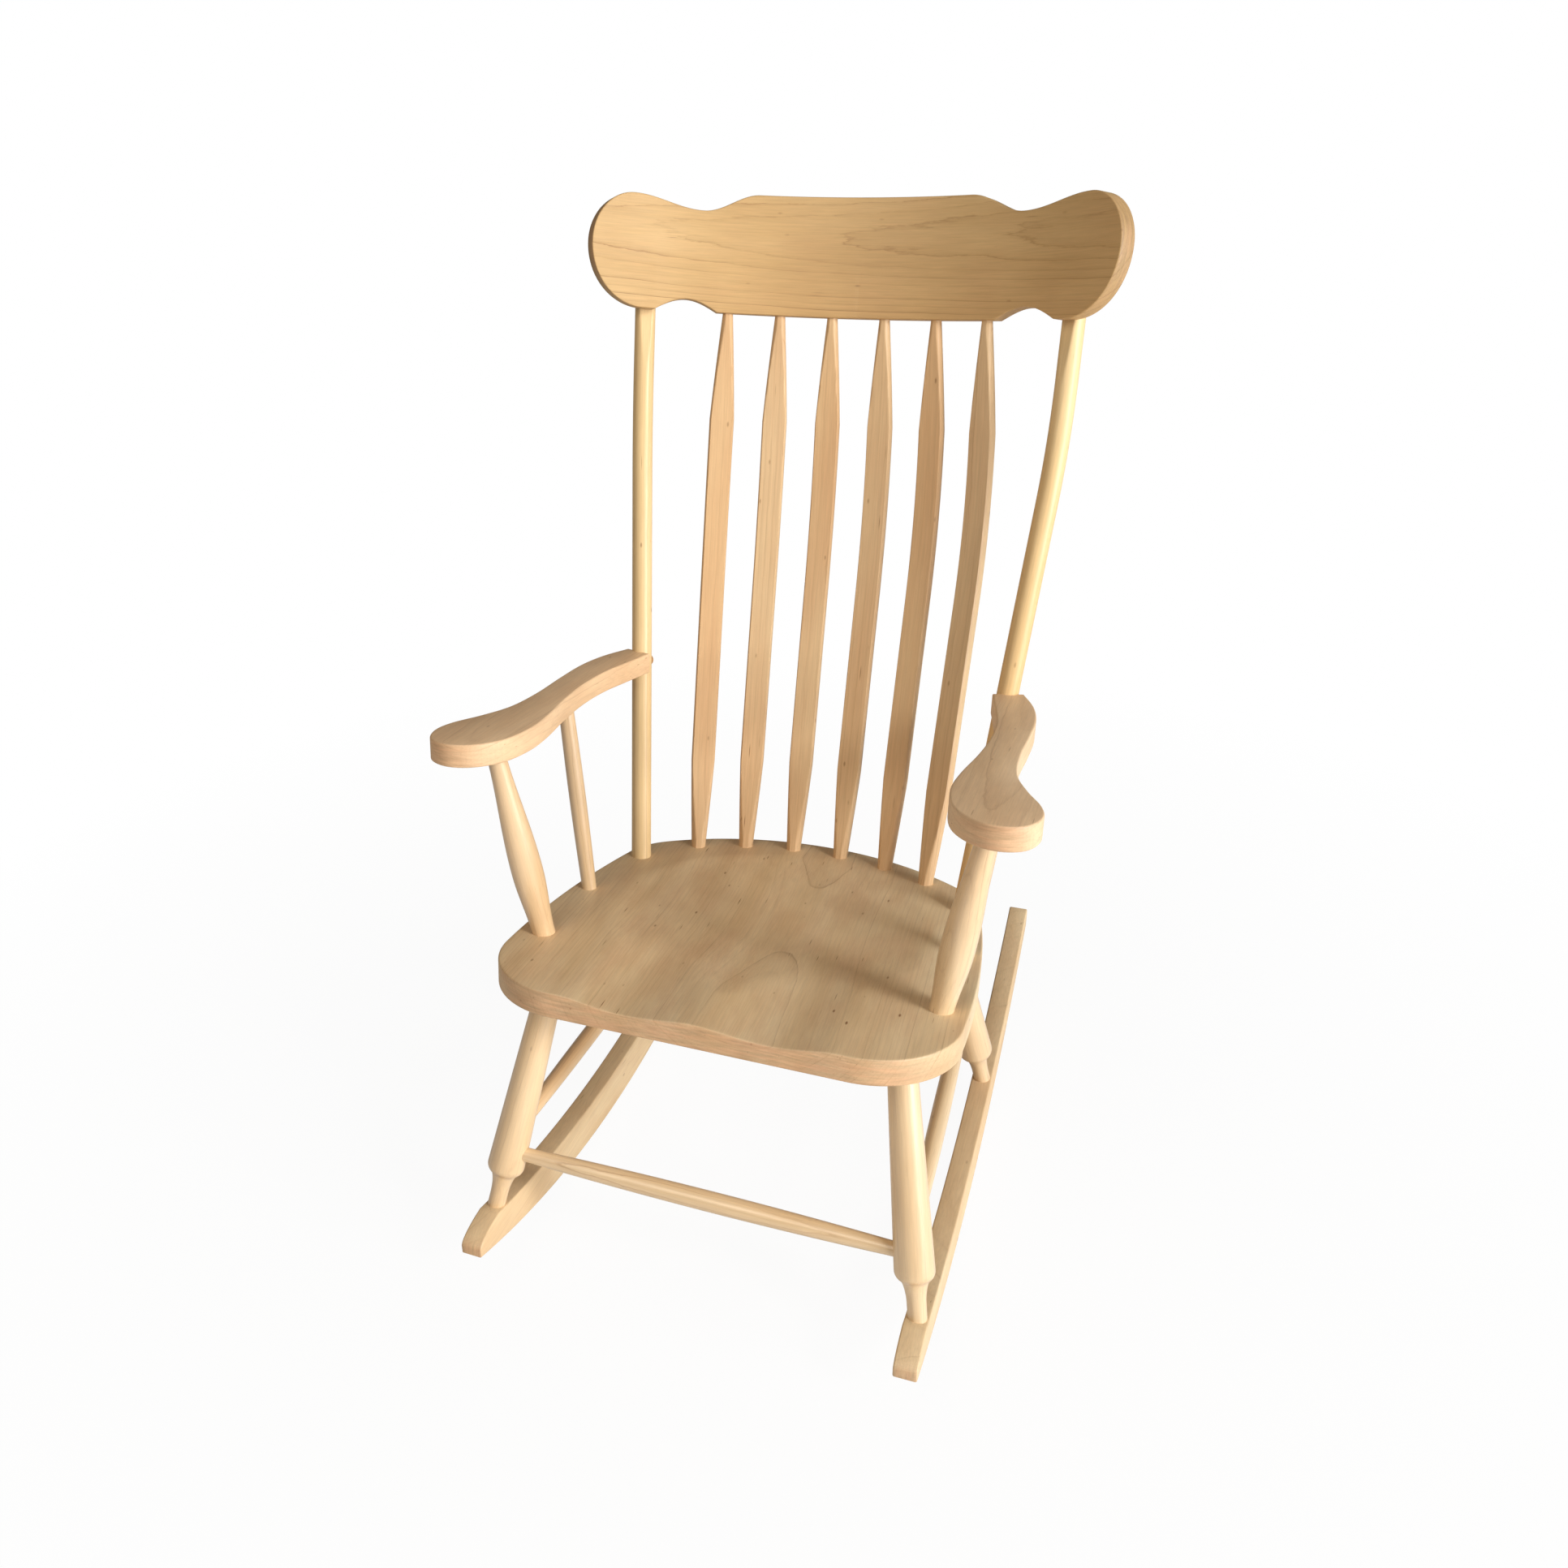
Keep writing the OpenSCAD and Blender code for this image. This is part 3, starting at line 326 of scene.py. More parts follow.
# Legs, stretchers, arm posts and arm spindles, sanded on the lathe: a silky shine down each turning
TURNED = maple("maple_turning_sanded_on_the_lathe", "#F3D8AF", "#E8C89B", "#A87848",
               ring_mm=5.6, strength=0.6, wave_mm=1.3, fleck=0.6, rough=0.36, gloss=1.0, sheen=1.0)
# The back posts, turned and bent: duller and a little yellower than the other turnings
POST_WOOD = maple("maple_post_turned_and_bent", "#EED2A0", "#E5C690", "#A87848",
                  ring_mm=5.6, strength=0.7, wave_mm=1.3, fleck=0.8, rough=0.52)
# The six back spindles, bent, flattened and sanded: a shade darker, with small flecks
SPINDLE_WOOD = maple("maple_spindle_bent_and_flattened", "#E5C79B", "#DAB68B", "#9C6A3F",
                     ring_mm=5.6, strength=0.7, wave_mm=1.6, fleck=0.8)


def plain_metal():
    """Zinc-plated steel: pale grey, with the dull shine of a wood screw."""
    metal = bpy.data.materials.new("zinc_plated_steel")
    node = partial(add, empty_tree(metal))
    patch_mm = 10 / 3
    tarnish = node("TexNoise", node("TexCoord", out="Object"), Scale=1 / (patch_mm * MM), Detail=3.0)
    tone = node("ValToRGB", tarnish, stops=[(0.3, "#8E9094"), (0.7, "#B4B6BA")])
    node("OutputMaterial", node("BsdfPrincipled", tone, Metallic=1.0, Roughness=0.38))
    return metal


STEEL = plain_metal()


# Making a piece


def set_grain(mesh, grain, ends):
    """Stores where each point lies in the log, and how far each face is end grain."""
    places = mesh.attributes.new("grain", "FLOAT_VECTOR", "POINT")
    places.data.foreach_set("vector", np.asarray(grain, np.float32).ravel())
    shares = mesh.attributes.new("end_grain", "FLOAT", "FACE")
    shares.data.foreach_set("value", np.asarray(ends, np.float32))


def end_share(faces, grain):
    """0 on faces that run with the grain, 1 on sawn ends."""
    least = 0.35  # how far a face has to look along the grain
    out = []
    for f in faces:
        g = grain[list(f)]
        n = np.cross(g[1] - g[0], g[-1] - g[0])
        size = np.linalg.norm(n)
        out.append(0.0 if size < 1e-9 else max(0.0, (abs(n[0]) / size - least) / (1 - least)))
    return out


def make(name, points, faces, grain, material, nodes, smooth=38):
    """points in millimetres. The piece rides on the chair and stands for the named solids."""
    points, grain = np.asarray(points, float), np.asarray(grain, float)
    mesh = bpy.data.meshes.new(name)
    mesh.from_pydata([tuple(p * MM) for p in points], [], [tuple(f) for f in faces])
    set_grain(mesh, grain, end_share(faces, grain))
    mesh.materials.append(material)
    mesh.polygons.foreach_set("use_smooth", [True] * len(mesh.polygons))
    mesh.set_sharp_from_angle(angle=math.radians(smooth))
    mesh.validate()
    mesh.update()
    piece = bpy.data.objects.new(name, mesh)
    bpy.context.scene.collection.objects.link(piece)
    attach(piece, "root")
    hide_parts(*nodes)


def skin(rings):
    """Faces between equal rings of points, with a fan at each end. The two end points come last."""
    n, count = len(rings[0]), len(rings)
    faces = [(i * n + k, i * n + (k + 1) % n, (i + 1) * n + (k + 1) % n, (i + 1) * n + k)
             for i in range(count - 1) for k in range(n)]
    first, last = n * count, n * count + 1
    faces += [(first, (k + 1) % n, k) for k in range(n)]
    faces += [(last, (count - 1) * n + k, (count - 1) * n + (k + 1) % n) for k in range(n)]
    return faces


def swept(name, frames, sections, along, log, side, material, node):
    """A stick: sections of (across, rear) points, each set at a frame. log is its place in the tree."""
    points, grain = [], []
    for (p, across, rear, _), section, way in zip(frames, sections, along):
        for a, b in section:
            points.append(p + across * a + rear * b)
            grain.append((way + log[0], a + log[1], b + log[2]))
    for i in (0, -1):
        points.append(frames[i][0])
        grain.append((along[i] + log[0], log[1], log[2]))
    points = [mirrored(p, side) for p in points]
    faces = skin(sections)
    if side > 0:
        faces = [f[::-1] for f in faces]
    make(name, points, faces, grain, material, [node])


def circle(d):
    turns = [2 * math.pi * k / ROUND for k in range(ROUND)]
    return [(d / 2 * math.cos(turn), d / 2 * math.sin(turn)) for turn in turns]


def turned(name, a, b, profile, log, node, side=1):
    """A turning from a to b. profile is (diameter, distance from a)."""
    up = unit(b - a)
    across = unit(np.cross(up, vec(0, 1, 0.3)))
    rear = np.cross(up, across)
    frames = [(a + up * z, across, rear, up) for _, z in profile]
    sections, along = [circle(d) for d, _ in profile], [z for _, z in profile]
    swept(name, frames, sections, along, log, side, TURNED, node)


def wave(s, s0, s1, a, b):
    """Half a cosine wave from a at s0 to b at s1."""
    return (a + b) / 2 + (a - b) / 2 * math.cos(math.pi * (s - s0) / (s1 - s0))


def curve(points):
    """A smooth line through points."""
    steps = 6
    p, out = [vec(*q) for q in points], []
    for i in range(len(p) - 1):
        a, b, c, d = p[max(i - 1, 0)], p[i], p[i + 1], p[min(i + 2, len(p) - 1)]
        for k in range(steps):
            t = k / steps
            square, cube = 2 * a - 5 * b + 4 * c - d, 3 * b - a - 3 * c + d
            out.append(0.5 * (2 * b + (c - a) * t + square * t * t + cube * t**3))
    out.append(p[-1])
    return out


def sawn(name, outline, thick, edge, place, to_log, material, node, cuts=(), side=1, smooth=32):
    """A board cut to an outline in its own plane, with softened edges. place(u, v, w) gives its points
    in the chair, and to_log(u, v, w) their place in the tree. cuts are lines across it, where it bends."""
    bm = bmesh.new()
    base = [bm.verts.new((float(u), float(v), 0.0)) for u, v in outline]
    face = bm.faces.new(base)
    if face.normal.z < 0:
        face.normal_flip()
    bm.normal_update()
    made = bmesh.ops.extrude_face_region(bm, geom=[face])
    for v in made["geom"]:
        if isinstance(v, bmesh.types.BMVert):
            v.co.z += thick
    bmesh.ops.recalc_face_normals(bm, faces=bm.faces)
    rims = [e for e in bm.edges if abs(e.verts[0].co.z - e.verts[1].co.z) < 1e-6]
    bmesh.ops.bevel(bm, geom=rims, offset=edge, segments=4, profile=0.5, affect="EDGES", clamp_overlap=True)
    for u in cuts:
        everything = bm.verts[:] + bm.edges[:] + bm.faces[:]
        bmesh.ops.bisect_plane(bm, geom=everything, plane_co=(u, 0, 0), plane_no=(1, 0, 0))
    bmesh.ops.triangulate(bm, faces=[f for f in bm.faces if len(f.verts) > 4])
    bmesh.ops.recalc_face_normals(bm, faces=bm.faces)
    bm.verts.index_update()
    local = [tuple(v.co) for v in bm.verts]
    faces = [tuple(v.index for v in f.verts) for f in bm.faces]
    bm.free()
    points = [mirrored(place(*q), side) for q in local]
    a, b, c = place(0, 0, 0), place(1, 0, 0), place(0, 1, 0)
    flip = np.dot(np.cross(b - a, c - a), place(0, 0, 1) - a) * side < 0
    if flip:
        faces = [f[::-1] for f in faces]
    make(name, points, faces, [to_log(*q) for q in local], material, [node], smooth)


def arc(c, r, a0, a1, steps):
    """Points on a circle round c, from one angle to another."""
    angles = [a0 + (a1 - a0) * i / steps for i in range(steps + 1)]
    return [c + r * vec(math.cos(a), math.sin(a)) for a in angles]


# Seat


def seat_outline():
    """The right half from the middle of the front, then its mirror: arcs that meet without a corner."""
    side_r, back_r, front_corner, rear_corner = 1200.0, SEAT_BACK_R, 98.0, 90.0
    side_c = vec(SEAT_HALF - side_r, -SEAT_FRONT + SEAT_DEPTH * 0.235)
    back_c = vec(0, SEAT_BACK - back_r)
    d = np.linalg.norm(side_c - back_c)
    r0, r1 = back_r - rear_corner, side_r - rear_corner
    u = (side_c - back_c) / d
    along = (d * d + r0 * r0 - r1 * r1) / (2 * d)
    rear_c = back_c + along * u + math.sqrt(r0 * r0 - along * along) * vec(u[1], -u[0])
    dy = -SEAT_FRONT + front_corner - side_c[1]
    front_c = vec(math.sqrt((side_r - front_corner) ** 2 - dy * dy) + side_c[0], -SEAT_FRONT + front_corner)

    def heading(a, b):
        return math.atan2(b[1] - a[1], b[0] - a[0])

    half = [vec(x, -SEAT_FRONT) for x in np.linspace(0, front_c[0], 40)[:-1]]
    half += arc(front_c, front_corner, -math.pi / 2, heading(side_c, front_c), 34)[:-1]
    half += arc(side_c, side_r, heading(side_c, front_c), heading(side_c, rear_c), 50)[:-1]
    half += arc(rear_c, rear_corner, heading(side_c, rear_c), heading(back_c, rear_c), 24)[:-1]
    half += arc(back_c, back_r, heading(back_c, rear_c), math.pi / 2, 50)
    return half + [vec(-p[0], p[1]) for p in half[-2:0:-1]]


def saddle(x, s):
    """How far the seat is hollowed: a dish with a clear rear rim, and a scoop for each thigh."""
    dish_r, dish_deep, rim_in = 196.0, 12.0, 46
    scoop_x, scoop_deep, inner_half, outer_half, fade = 81.0, 7.5, 104.0, 80.0, 120
    middle = SEAT_BACK - rim_in - dish_r
    rim = math.hypot(x, s - middle) / dish_r
    dish = dish_deep * max(0.0, 1 - rim * rim)
    reach = max(0.0, min(1.0, (middle + fade / 2 - s) / fade))
    scoop = 0.0
    for c in (-scoop_x, scoop_x):
        half = inner_half if (x - c) * c < 0 else outer_half
        off = min(1.0, abs(x - c) / half)
        scoop += scoop_deep * math.cos(math.pi / 2 * off) ** 2
    scoop *= reach * reach * (3 - 2 * reach)
    # The deeper of the two, with a soft line where they meet
    blend = 2.5
    h = max(0.0, min(1.0, 0.5 + 0.5 * (dish - scoop) / blend))
    return scoop * (1 - h) + dish * h + blend * h * (1 - h) * min(1.0, min(dish, scoop) / 1.5)


def make_seat():
    """The seat board: eased edges, a flat underside, and the saddle worked into its top."""
    outline = np.array(seat_outline())
    step = np.roll(outline, -1, 0) - np.roll(outline, 1, 0)
    inward = np.stack([-step[:, 1], step[:, 0]], 1) / np.linalg.norm(step, axis=1)[:, None]
    soft = 1.9  # rounding of the edges
    turns = np.linspace(0, math.pi / 2, 6)
    bends = [(soft * (1 - math.sin(a)), soft * (1 - math.cos(a))) for a in turns]
    rows = [(outline + inward * q, -SEAT_THICK + r, False) for q, r in bends]
    rows += [(outline + inward * r, -q, True) for q, r in bends]
    inner = outline + inward * soft
    centre = vec(0, -104.0)  # where the rows close
    near_edge, over_saddle = [0.012, 0.03, 0.05], np.linspace(0.075, 0.985, 62)
    for u in near_edge + list(over_saddle):
        rows.append((inner + (centre - inner) * u, 0.0, True))
    points, grain = [], []
    for row, up, hollowed in rows:
        for x, s in row:
            depth = saddle(x, s) if hollowed else 0.0
            points.append(seat_pt(x, s, up - depth))
            grain.append((s, x, up - depth))
    for q, up in ((centre, -SEAT_THICK), (centre, -saddle(*centre))):
        points.append(seat_pt(q[0], q[1], up))
        grain.append((q[1], q[0], up))
    # The heart of the log lies above the seat, a little to the right of its middle, and rises to the rear
    logs = [(a, x - 28.0 + 0.06 * a, d - 92.0 - 0.02 * a) for a, x, d in grain]
    make("seat_board", points, skin([r[0] for r in rows]), logs, SEAT_WOOD, ["seat"])


make_seat()


# Rockers, legs and stretchers


def rocker_outline():
    """Side view of a rocker: a blunt toe, the upper curve, a rounded heel, and the curve it rolls on."""
    toe, heel, tip, toe_long, hip, heel_r = -ROCKER_LONG / 2, ROCKER_LONG / 2, 9.0, 54.0, 1.5, 12.0
    start = vec(toe + toe_long, run_z(toe, RUN_R) + tip)
    rise = rocker_top(start[0]) + hip - start[1]
    out = [vec(toe, run_z(toe, RUN_R))]
    for a in np.linspace(0, math.pi / 2, 18):
        p = start + vec(-toe_long * math.cos(a), rise * math.sin(a))
        if p[1] < rocker_top(p[0]):
            out.append(p)
    corner = vec(heel - heel_r, rocker_top(heel) - heel_r)
    rounded = [p for p in arc(corner, heel_r, math.pi / 2, 0, 24) if p[1] < rocker_top(p[0])]
    out += [vec(y, rocker_top(y)) for y in np.linspace(out[-1][0] + 3, rounded[0][0] - 1, 90)]
    out += rounded
    out += [vec(y, run_z(y, RUN_R)) for y in np.linspace(heel, toe, 120)][:-1]
    return out


def make_rocker(side, node, log):
    """One sawn runner."""
    c, n = math.cos(ROCKER_TURN), math.sin(ROCKER_TURN)

    def place(u, v, w):
        x = w - ROCKER_WIDE / 2
        return vec(ROCKER_X + x * c - u * n, u * c + x * n, v)

    def to_log(u, v, w):
        return (u + log[0], v + log[1], w + log[2])

    sawn(node + "_board", rocker_outline(), ROCKER_WIDE, 3.0, place, to_log, BOARD, node,
         side=side)


def leg_profile(long):
    """A straight neck, a long cove up to a crease, a rounded shoulder, and a taper to the seat."""
    neck, belly, top = 21.0, 44.0, 31.0
    neck_long, cove_long, shoulder_long = 15.0, 28.0, 10.0
    into_rocker, into_seat = 6, 14
    ledge = belly * 0.74
    cove_turn, shoulder_turn = math.radians(66), math.radians(30)
    out = [(neck, -into_rocker), (neck, 0), (neck, neck_long / 2), (neck, neck_long)]
    for a in np.linspace(0, cove_turn, 12)[1:]:
        grow = (1 - math.cos(a)) / (1 - math.cos(cove_turn))
        out.append((neck + (ledge - neck) * grow, neck_long + cove_long * math.sin(a) / math.sin(cove_turn)))
    crease = neck_long + cove_long
    for a in np.linspace(shoulder_turn, math.pi / 2, 12)[1:]:
        grow = (math.sin(a) - math.sin(shoulder_turn)) / (1 - math.sin(shoulder_turn))
        rise = shoulder_long * (1 - math.cos(a) / math.cos(shoulder_turn))
        out.append((ledge + (belly - ledge) * grow, crease + rise))
    crown = crease + shoulder_long
    out += [(belly + (top - belly) * u, crown + (long - crown) * u) for u in np.linspace(0.04, 1, 10)]
    return out + [(top, long + into_seat)]


def make_legs():
    """Four legs. The tops of the rear pair are closer together."""
    pairs = ((FRONT_FOOT, FRONT_LEG_TOP, "front", 0), (REAR_FOOT, REAR_LEG_TOP, "rear", 400))
    for side, hand in ((-1, "left"), (1, "right")):
        for foot, top, end, shift in pairs:
            node = f"{end}_{hand}_leg"
            log = (shift + side * 210, 31 + side * 9 + shift * 0.02, 22 - side * 5)
            profile = leg_profile(np.linalg.norm(top - foot))
            turned(node + "_turning", foot, top, profile, log, node, side)


def stretcher_profile(long, end, mid):
    """Straight ends, and a low swell between them that is thickest in the middle."""
    straight = 28.0
    out = [(end, 0), (end, straight * 0.5), (end, straight)]
    for u in np.linspace(0.04, 0.96, 24):
        out.append((end + (mid - end) * (1 - (2 * u - 1) ** 2), straight + (long - 2 * straight) * u))
    return out + [(end, long - straight), (end, long - straight * 0.5), (end, long)]


def make_stretchers():
    """A box of four: across the front, across the rear, and one down each side."""
    front_high, rear_high, side_high, end_d = 159, 150, 180, 16.5
    front = at_height(FRONT_FOOT, FRONT_LEG_TOP, front_high)
    rear = at_height(REAR_FOOT, REAR_LEG_TOP, rear_high)
    side_front = at_height(FRONT_FOOT, FRONT_LEG_TOP, side_high)
    side_rear = at_height(REAR_FOOT, REAR_LEG_TOP, side_high)
    for node, a, b, mid, side, log in (
        ("front_stretcher", mirrored(front, -1), front, 23.0, 1, (0, 24, 17)),
        ("rear_stretcher", mirrored(rear, -1), rear, 23.0, 1, (700, -30, 21)),
        ("left_stretcher", side_front, side_rear, 21.0, -1, (1300, 19, -26)),
        ("right_stretcher", side_front, side_rear, 21.0, 1, (1900, -22, 30)),
    ):
        profile = stretcher_profile(np.linalg.norm(b - a), end_d, mid)
        turned(node + "_turning", a, b, profile, log, node, side)


make_rocker(-1, "left_rocker", (0, 140, 62))
make_rocker(1, "right_rocker", (1200, 170, -48))
make_legs()
make_stretchers()


# Back: posts, spindles and crest rail


def make_post(side, node, log):
    """A bent round post, planed flat where the crest rail lies against it."""
    into_seat, over = 14, 106.0  # below the seat's top, and above the rail's lower edge
    stations = list(np.linspace(-into_seat, POST.low, 12))
    stations += list(np.linspace(POST.low + 8, POST.length - 60, 20))
    stations += list(np.linspace(POST.length - 52, POST.length + over, 44))
    c, n = math.cos(CREST_TILT), math.sin(CREST_TILT)
    flat_out = vec(math.sin(POST_TURN), c * math.cos(POST_TURN), -n * math.cos(POST_TURN))
    origin = vec(0, CREST_Y - CREST_R * c, CREST_Z + CREST_R * n)
    flat = CREST_R + CREST_THICK + 0.05
    frames, sections = [], []
    for t in stations:
        p, across, rear, up = POST.frame(t)
        section = []
        for a, b in circle(POST_D):
            q = p + across * a + rear * b
            short = flat - (q - origin) @ flat_out
            planed = short > 0 and t > POST.length - 140
            section.append((a, b + short / (rear @ flat_out)) if planed else (a, b))
        frames.append((p, across, rear, up))
        sections.append(section)
    swept(node + "_stick", frames, sections, stations, log, side, POST_WOOD, node)


def flattened(width, thick):
    """Section of a round stick with a flat planed in front and behind, its corners eased."""
    n, soft = 48, 0.9
    out = []
    for k in range(n):
        a = 2 * math.pi * k / n
        x, y = width / 2 * math.cos(a), width / 2 * math.sin(a)
        h = thick / 2
        if abs(y) > h - soft:
            over = (abs(y) - (h - soft)) / max(width / 2 - (h - soft), 1e-6)
            y = math.copysign(h - soft + soft * math.sin(min(1.0, over * 6) * math.pi / 2), y)
        out.append((x, y))
    return out


def make_spindle(i, side, node, log):
    """One of six bent sticks, swelling and flattened towards its middle. i counts half steps from the
    middle of the back."""
    row_in, foot_step, top_step, bend, bend_at = 23.0, 12.1, 7.7, math.radians(12), 0.66
    row_r = SEAT_BACK_R - row_in
    on_row = math.radians(i * foot_step / 2)
    foot = seat_pt(row_r * math.sin(on_row), SEAT_BACK - SEAT_BACK_R + row_r * math.cos(on_row))
    facing = math.radians(i * top_step / 2)
    top = crest_pt(facing, -CREST_TALL / 2, CREST_THICK * 0.56)
    path = BentPath(foot, top, facing, bend, bend_at)
    low_swell, high_swell, wide, thick, foot_d, neck_d = 118.0, 128.0, 31.0, 14.0, 18.5, 12.5
    into_seat, into_rail = 14, 6
    neck = path.length - high_swell
    stretches = ((-into_seat, low_swell, 16), (low_swell, neck, 46), (neck, path.length + into_rail, 18))
    stations = sorted({round(v, 3) for stretch in stretches for v in np.linspace(*stretch)})
    sections = []
    for t in stations:
        a = max(0.0, min(1.0, t / low_swell))
        b = max(0.0, min(1.0, (path.length - t) / high_swell))
        u, end_d = (a, foot_d) if t < path.length / 2 else (b, neck_d)
        d = end_d + (wide - end_d) * (0.8 * u + 0.2 * math.sin(u * math.pi / 2))
        flat = end_d + 2 + (thick - end_d - 2) * u
        sections.append(flattened(d, min(flat, d)))
    frames = [path.frame(t) for t in stations]
    swept(node + "_stick", frames, sections, stations, log, side, SPINDLE_WOOD, node)


def crest_outline():
    """Front view of the crest rail along its face: straight middle, cusp, dip and round ear."""
    low = -CREST_TALL / 2
    ear_c = CREST_HALF - 50
    ear_low_c = ear_c - CREST_TALL * 0.13
    ear_mid, ear_top = CREST_TALL * 0.035, CREST_TALL * 0.455
    cusp, dip, dip_z = CREST_HALF * 0.388, CREST_HALF * 0.588, CREST_TALL * 0.35
    arch_in, arch_out, arch_rise = CREST_HALF * 0.521, CREST_HALF * 0.752, CREST_TALL * 0.1
    top = [vec(s, CREST_TALL / 2) for s in np.linspace(0, cusp, 8)]
    top += [vec(s, wave(s, cusp, dip, CREST_TALL / 2, dip_z)) for s in np.linspace(cusp, dip, 22)[1:]]
    top += [vec(s, wave(s, dip, ear_c, dip_z, ear_top)) for s in np.linspace(dip, ear_c, 26)[1:]]
    top += [vec(ear_c + (CREST_HALF - ear_c) * math.sin(a), ear_mid + (ear_top - ear_mid) * math.cos(a))
            for a in np.linspace(0, math.pi / 2, 26)[1:]]
    top += [vec(ear_low_c + (CREST_HALF - ear_low_c) * math.cos(a), ear_mid + (low - ear_mid) * math.sin(a))
            for a in np.linspace(0, math.pi / 2, 34)[1:]]
    top += [vec(s, low) for s in np.linspace(ear_low_c, arch_out, 3)[1:]]
    top += [vec(s, low + arch_rise * math.sin(math.pi * (s - arch_in) / (arch_out - arch_in)))
            for s in np.linspace(arch_out, arch_in, 24)[1:]]
    top += [vec(s, low) for s in np.linspace(arch_in, 0, 8)[1:]]
    return top[1:-1] + [vec(-p[0], p[1]) for p in top[::-1]][:-1] + [top[0]]


def make_crest():
    """The crest rail, sawn to its outline and curved in plan."""

    def place(u, v, w):
        return crest_pt(u / CREST_R, v, w)

    def to_log(u, v, w):
        return (u, v - 22.0, 59.2 - 0.028 * u + w)

    sawn("crest_rail_board", crest_outline(), CREST_THICK, 1.6, place, to_log, CREST_WOOD,
         "crest_rail", cuts=np.arange(-322, 323, 7.0), smooth=28)


make_post(-1, "left_back_post", (0, 26, 18))
make_post(1, "right_back_post", (1400, -24, 27))
for number, (i, side) in enumerate(((5, -1), (3, -1), (1, -1), (1, 1), (3, 1), (5, 1)), 1):
    log = (900 * number, 24 + 7 * (number % 3), (-1) ** number * (30 + 4 * number))
    make_spindle(i, side, f"back_spindle_{number}", log)
make_crest()


# Arms

# The right arm from above, from its inner rear corner round its front end to its outer rear corner. Each
# point is how far it lies to the right of the post's middle, and how far to the rear of it.
ARM_PLAN = [(-15, -9), (-4, -62), (5, -109), (8, -164), (4, -226), (-4, -291), (-5, -338), (5, -381),
            (28, -408), (55, -416), (79, -405), (89, -379), (84, -350), (66, -314), (51, -273), (46, -216),
            (47, -151), (46, -91), (37, -41), (20, 3)]


def make_arm(side, hand, log):
    """The flat arm board."""

    def place(u, v, w):
        return arm_pt(u + POST_AT_ARM[0], v + POST_AT_ARM[1], w - ARM_THICK)

    def to_log(u, v, w):
        return (v + log[0], u + log[1], w + log[2] + 0.03 * v)

    sawn(f"{hand}_arm_board", curve(ARM_PLAN), ARM_THICK, 2.2, place, to_log, ARM_WOOD,
         f"{hand}_arm", side=side)


def under_arm(in_from_side, in_from_front, out_from_post, ahead_of_post):
    """Where a stick under the right arm stands on the seat, from the seat's edges, and where it meets the
    arm, from the back post."""
    foot = seat_pt(SEAT_HALF - in_from_side, in_from_front - SEAT_FRONT)
    top = arm_pt(POST_AT_ARM[0] + out_from_post, POST_AT_ARM[1] - ahead_of_post, -ARM_THICK)
    return foot, top


def make_arm_post(side, hand):
    """The stout turning that carries the front of an arm: thickest at a third of its height."""
    foot, top = under_arm(in_from_side=30, in_from_front=132, out_from_post=38, ahead_of_post=340)
    long = np.linalg.norm(top - foot)
    belly = long * 0.34
    foot_d, belly_d, top_d, into_seat, into_arm = 27.0, 36.5, 21.0, 12, 8
    profile = [(foot_d, -into_seat), (foot_d, -4)]
    profile += [(wave(z, 0, belly, foot_d, belly_d), z) for z in np.linspace(0, belly, 12)]
    profile += [(wave(z, belly, long, belly_d, top_d), z) for z in np.linspace(belly, long, 26)[1:]]
    profile.append((top_d, long + into_arm))
    log = (side * 500, 20, 25 * side)
    turned(f"{hand}_arm_post_turning", foot, top, profile, log, f"{hand}_arm_post", side)


def make_arm_spindle(side, hand):
    """The slim turning behind it, a little thicker in the middle."""
    foot, top = under_arm(in_from_side=29, in_from_front=266, out_from_post=29, ahead_of_post=172)
    long = np.linalg.norm(top - foot)
    end_d, swell, into_seat, into_arm = 18.0, 2.5, 12, 8
    profile = [(end_d, -into_seat)]
    profile += [(end_d + swell * math.sin(math.pi * u), long * u) for u in np.linspace(0, 1, 24)]
    profile.append((end_d, long + into_arm))
    log = (side * 800, -23, 21 * side)
    turned(f"{hand}_arm_spindle_turning", foot, top, profile, log, f"{hand}_arm_spindle", side)


for side, hand, log in ((-1, "left", (0, -34, -62)), (1, "right", (700, -42, -70))):
    make_arm(side, hand, log)
    make_arm_post(side, hand)
    make_arm_spindle(side, hand)


# Screws and plugs are carried over from the solids


def carried(node, material):
    """Gives a solid its material and smooth round faces."""
    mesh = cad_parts[node].data
    mesh.materials.clear()
    mesh.materials.append(material)
    for face in mesh.polygons:
        face.use_smooth = True
    mesh.set_sharp_from_angle(angle=math.radians(35))


# The button plugs over the screws, turned and sanded: smooth and a shade darker than the posts
PLUG = maple("maple_button_plug", "#DDBB8E", "#CFA97C", "#9A6B40",
             ring_mm=3.0, strength=0.4, wave_mm=0.6, fleck=0.0)


def plug_grain(node):
    """The plugs are carried over, so their grain is their place in the chair."""
    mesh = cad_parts[node].data
    places = np.array([v.co for v in mesh.vertices]) / MM
    set_grain(mesh, places, [0.0] * len(mesh.polygons))


for node in ("arm_plugs", "crest_plugs"):
    plug_grain(node)
    carried(node, PLUG)
for node in ("arm_screws", "crest_screws"):
    carried(node, STEEL)


# Floor, light and camera


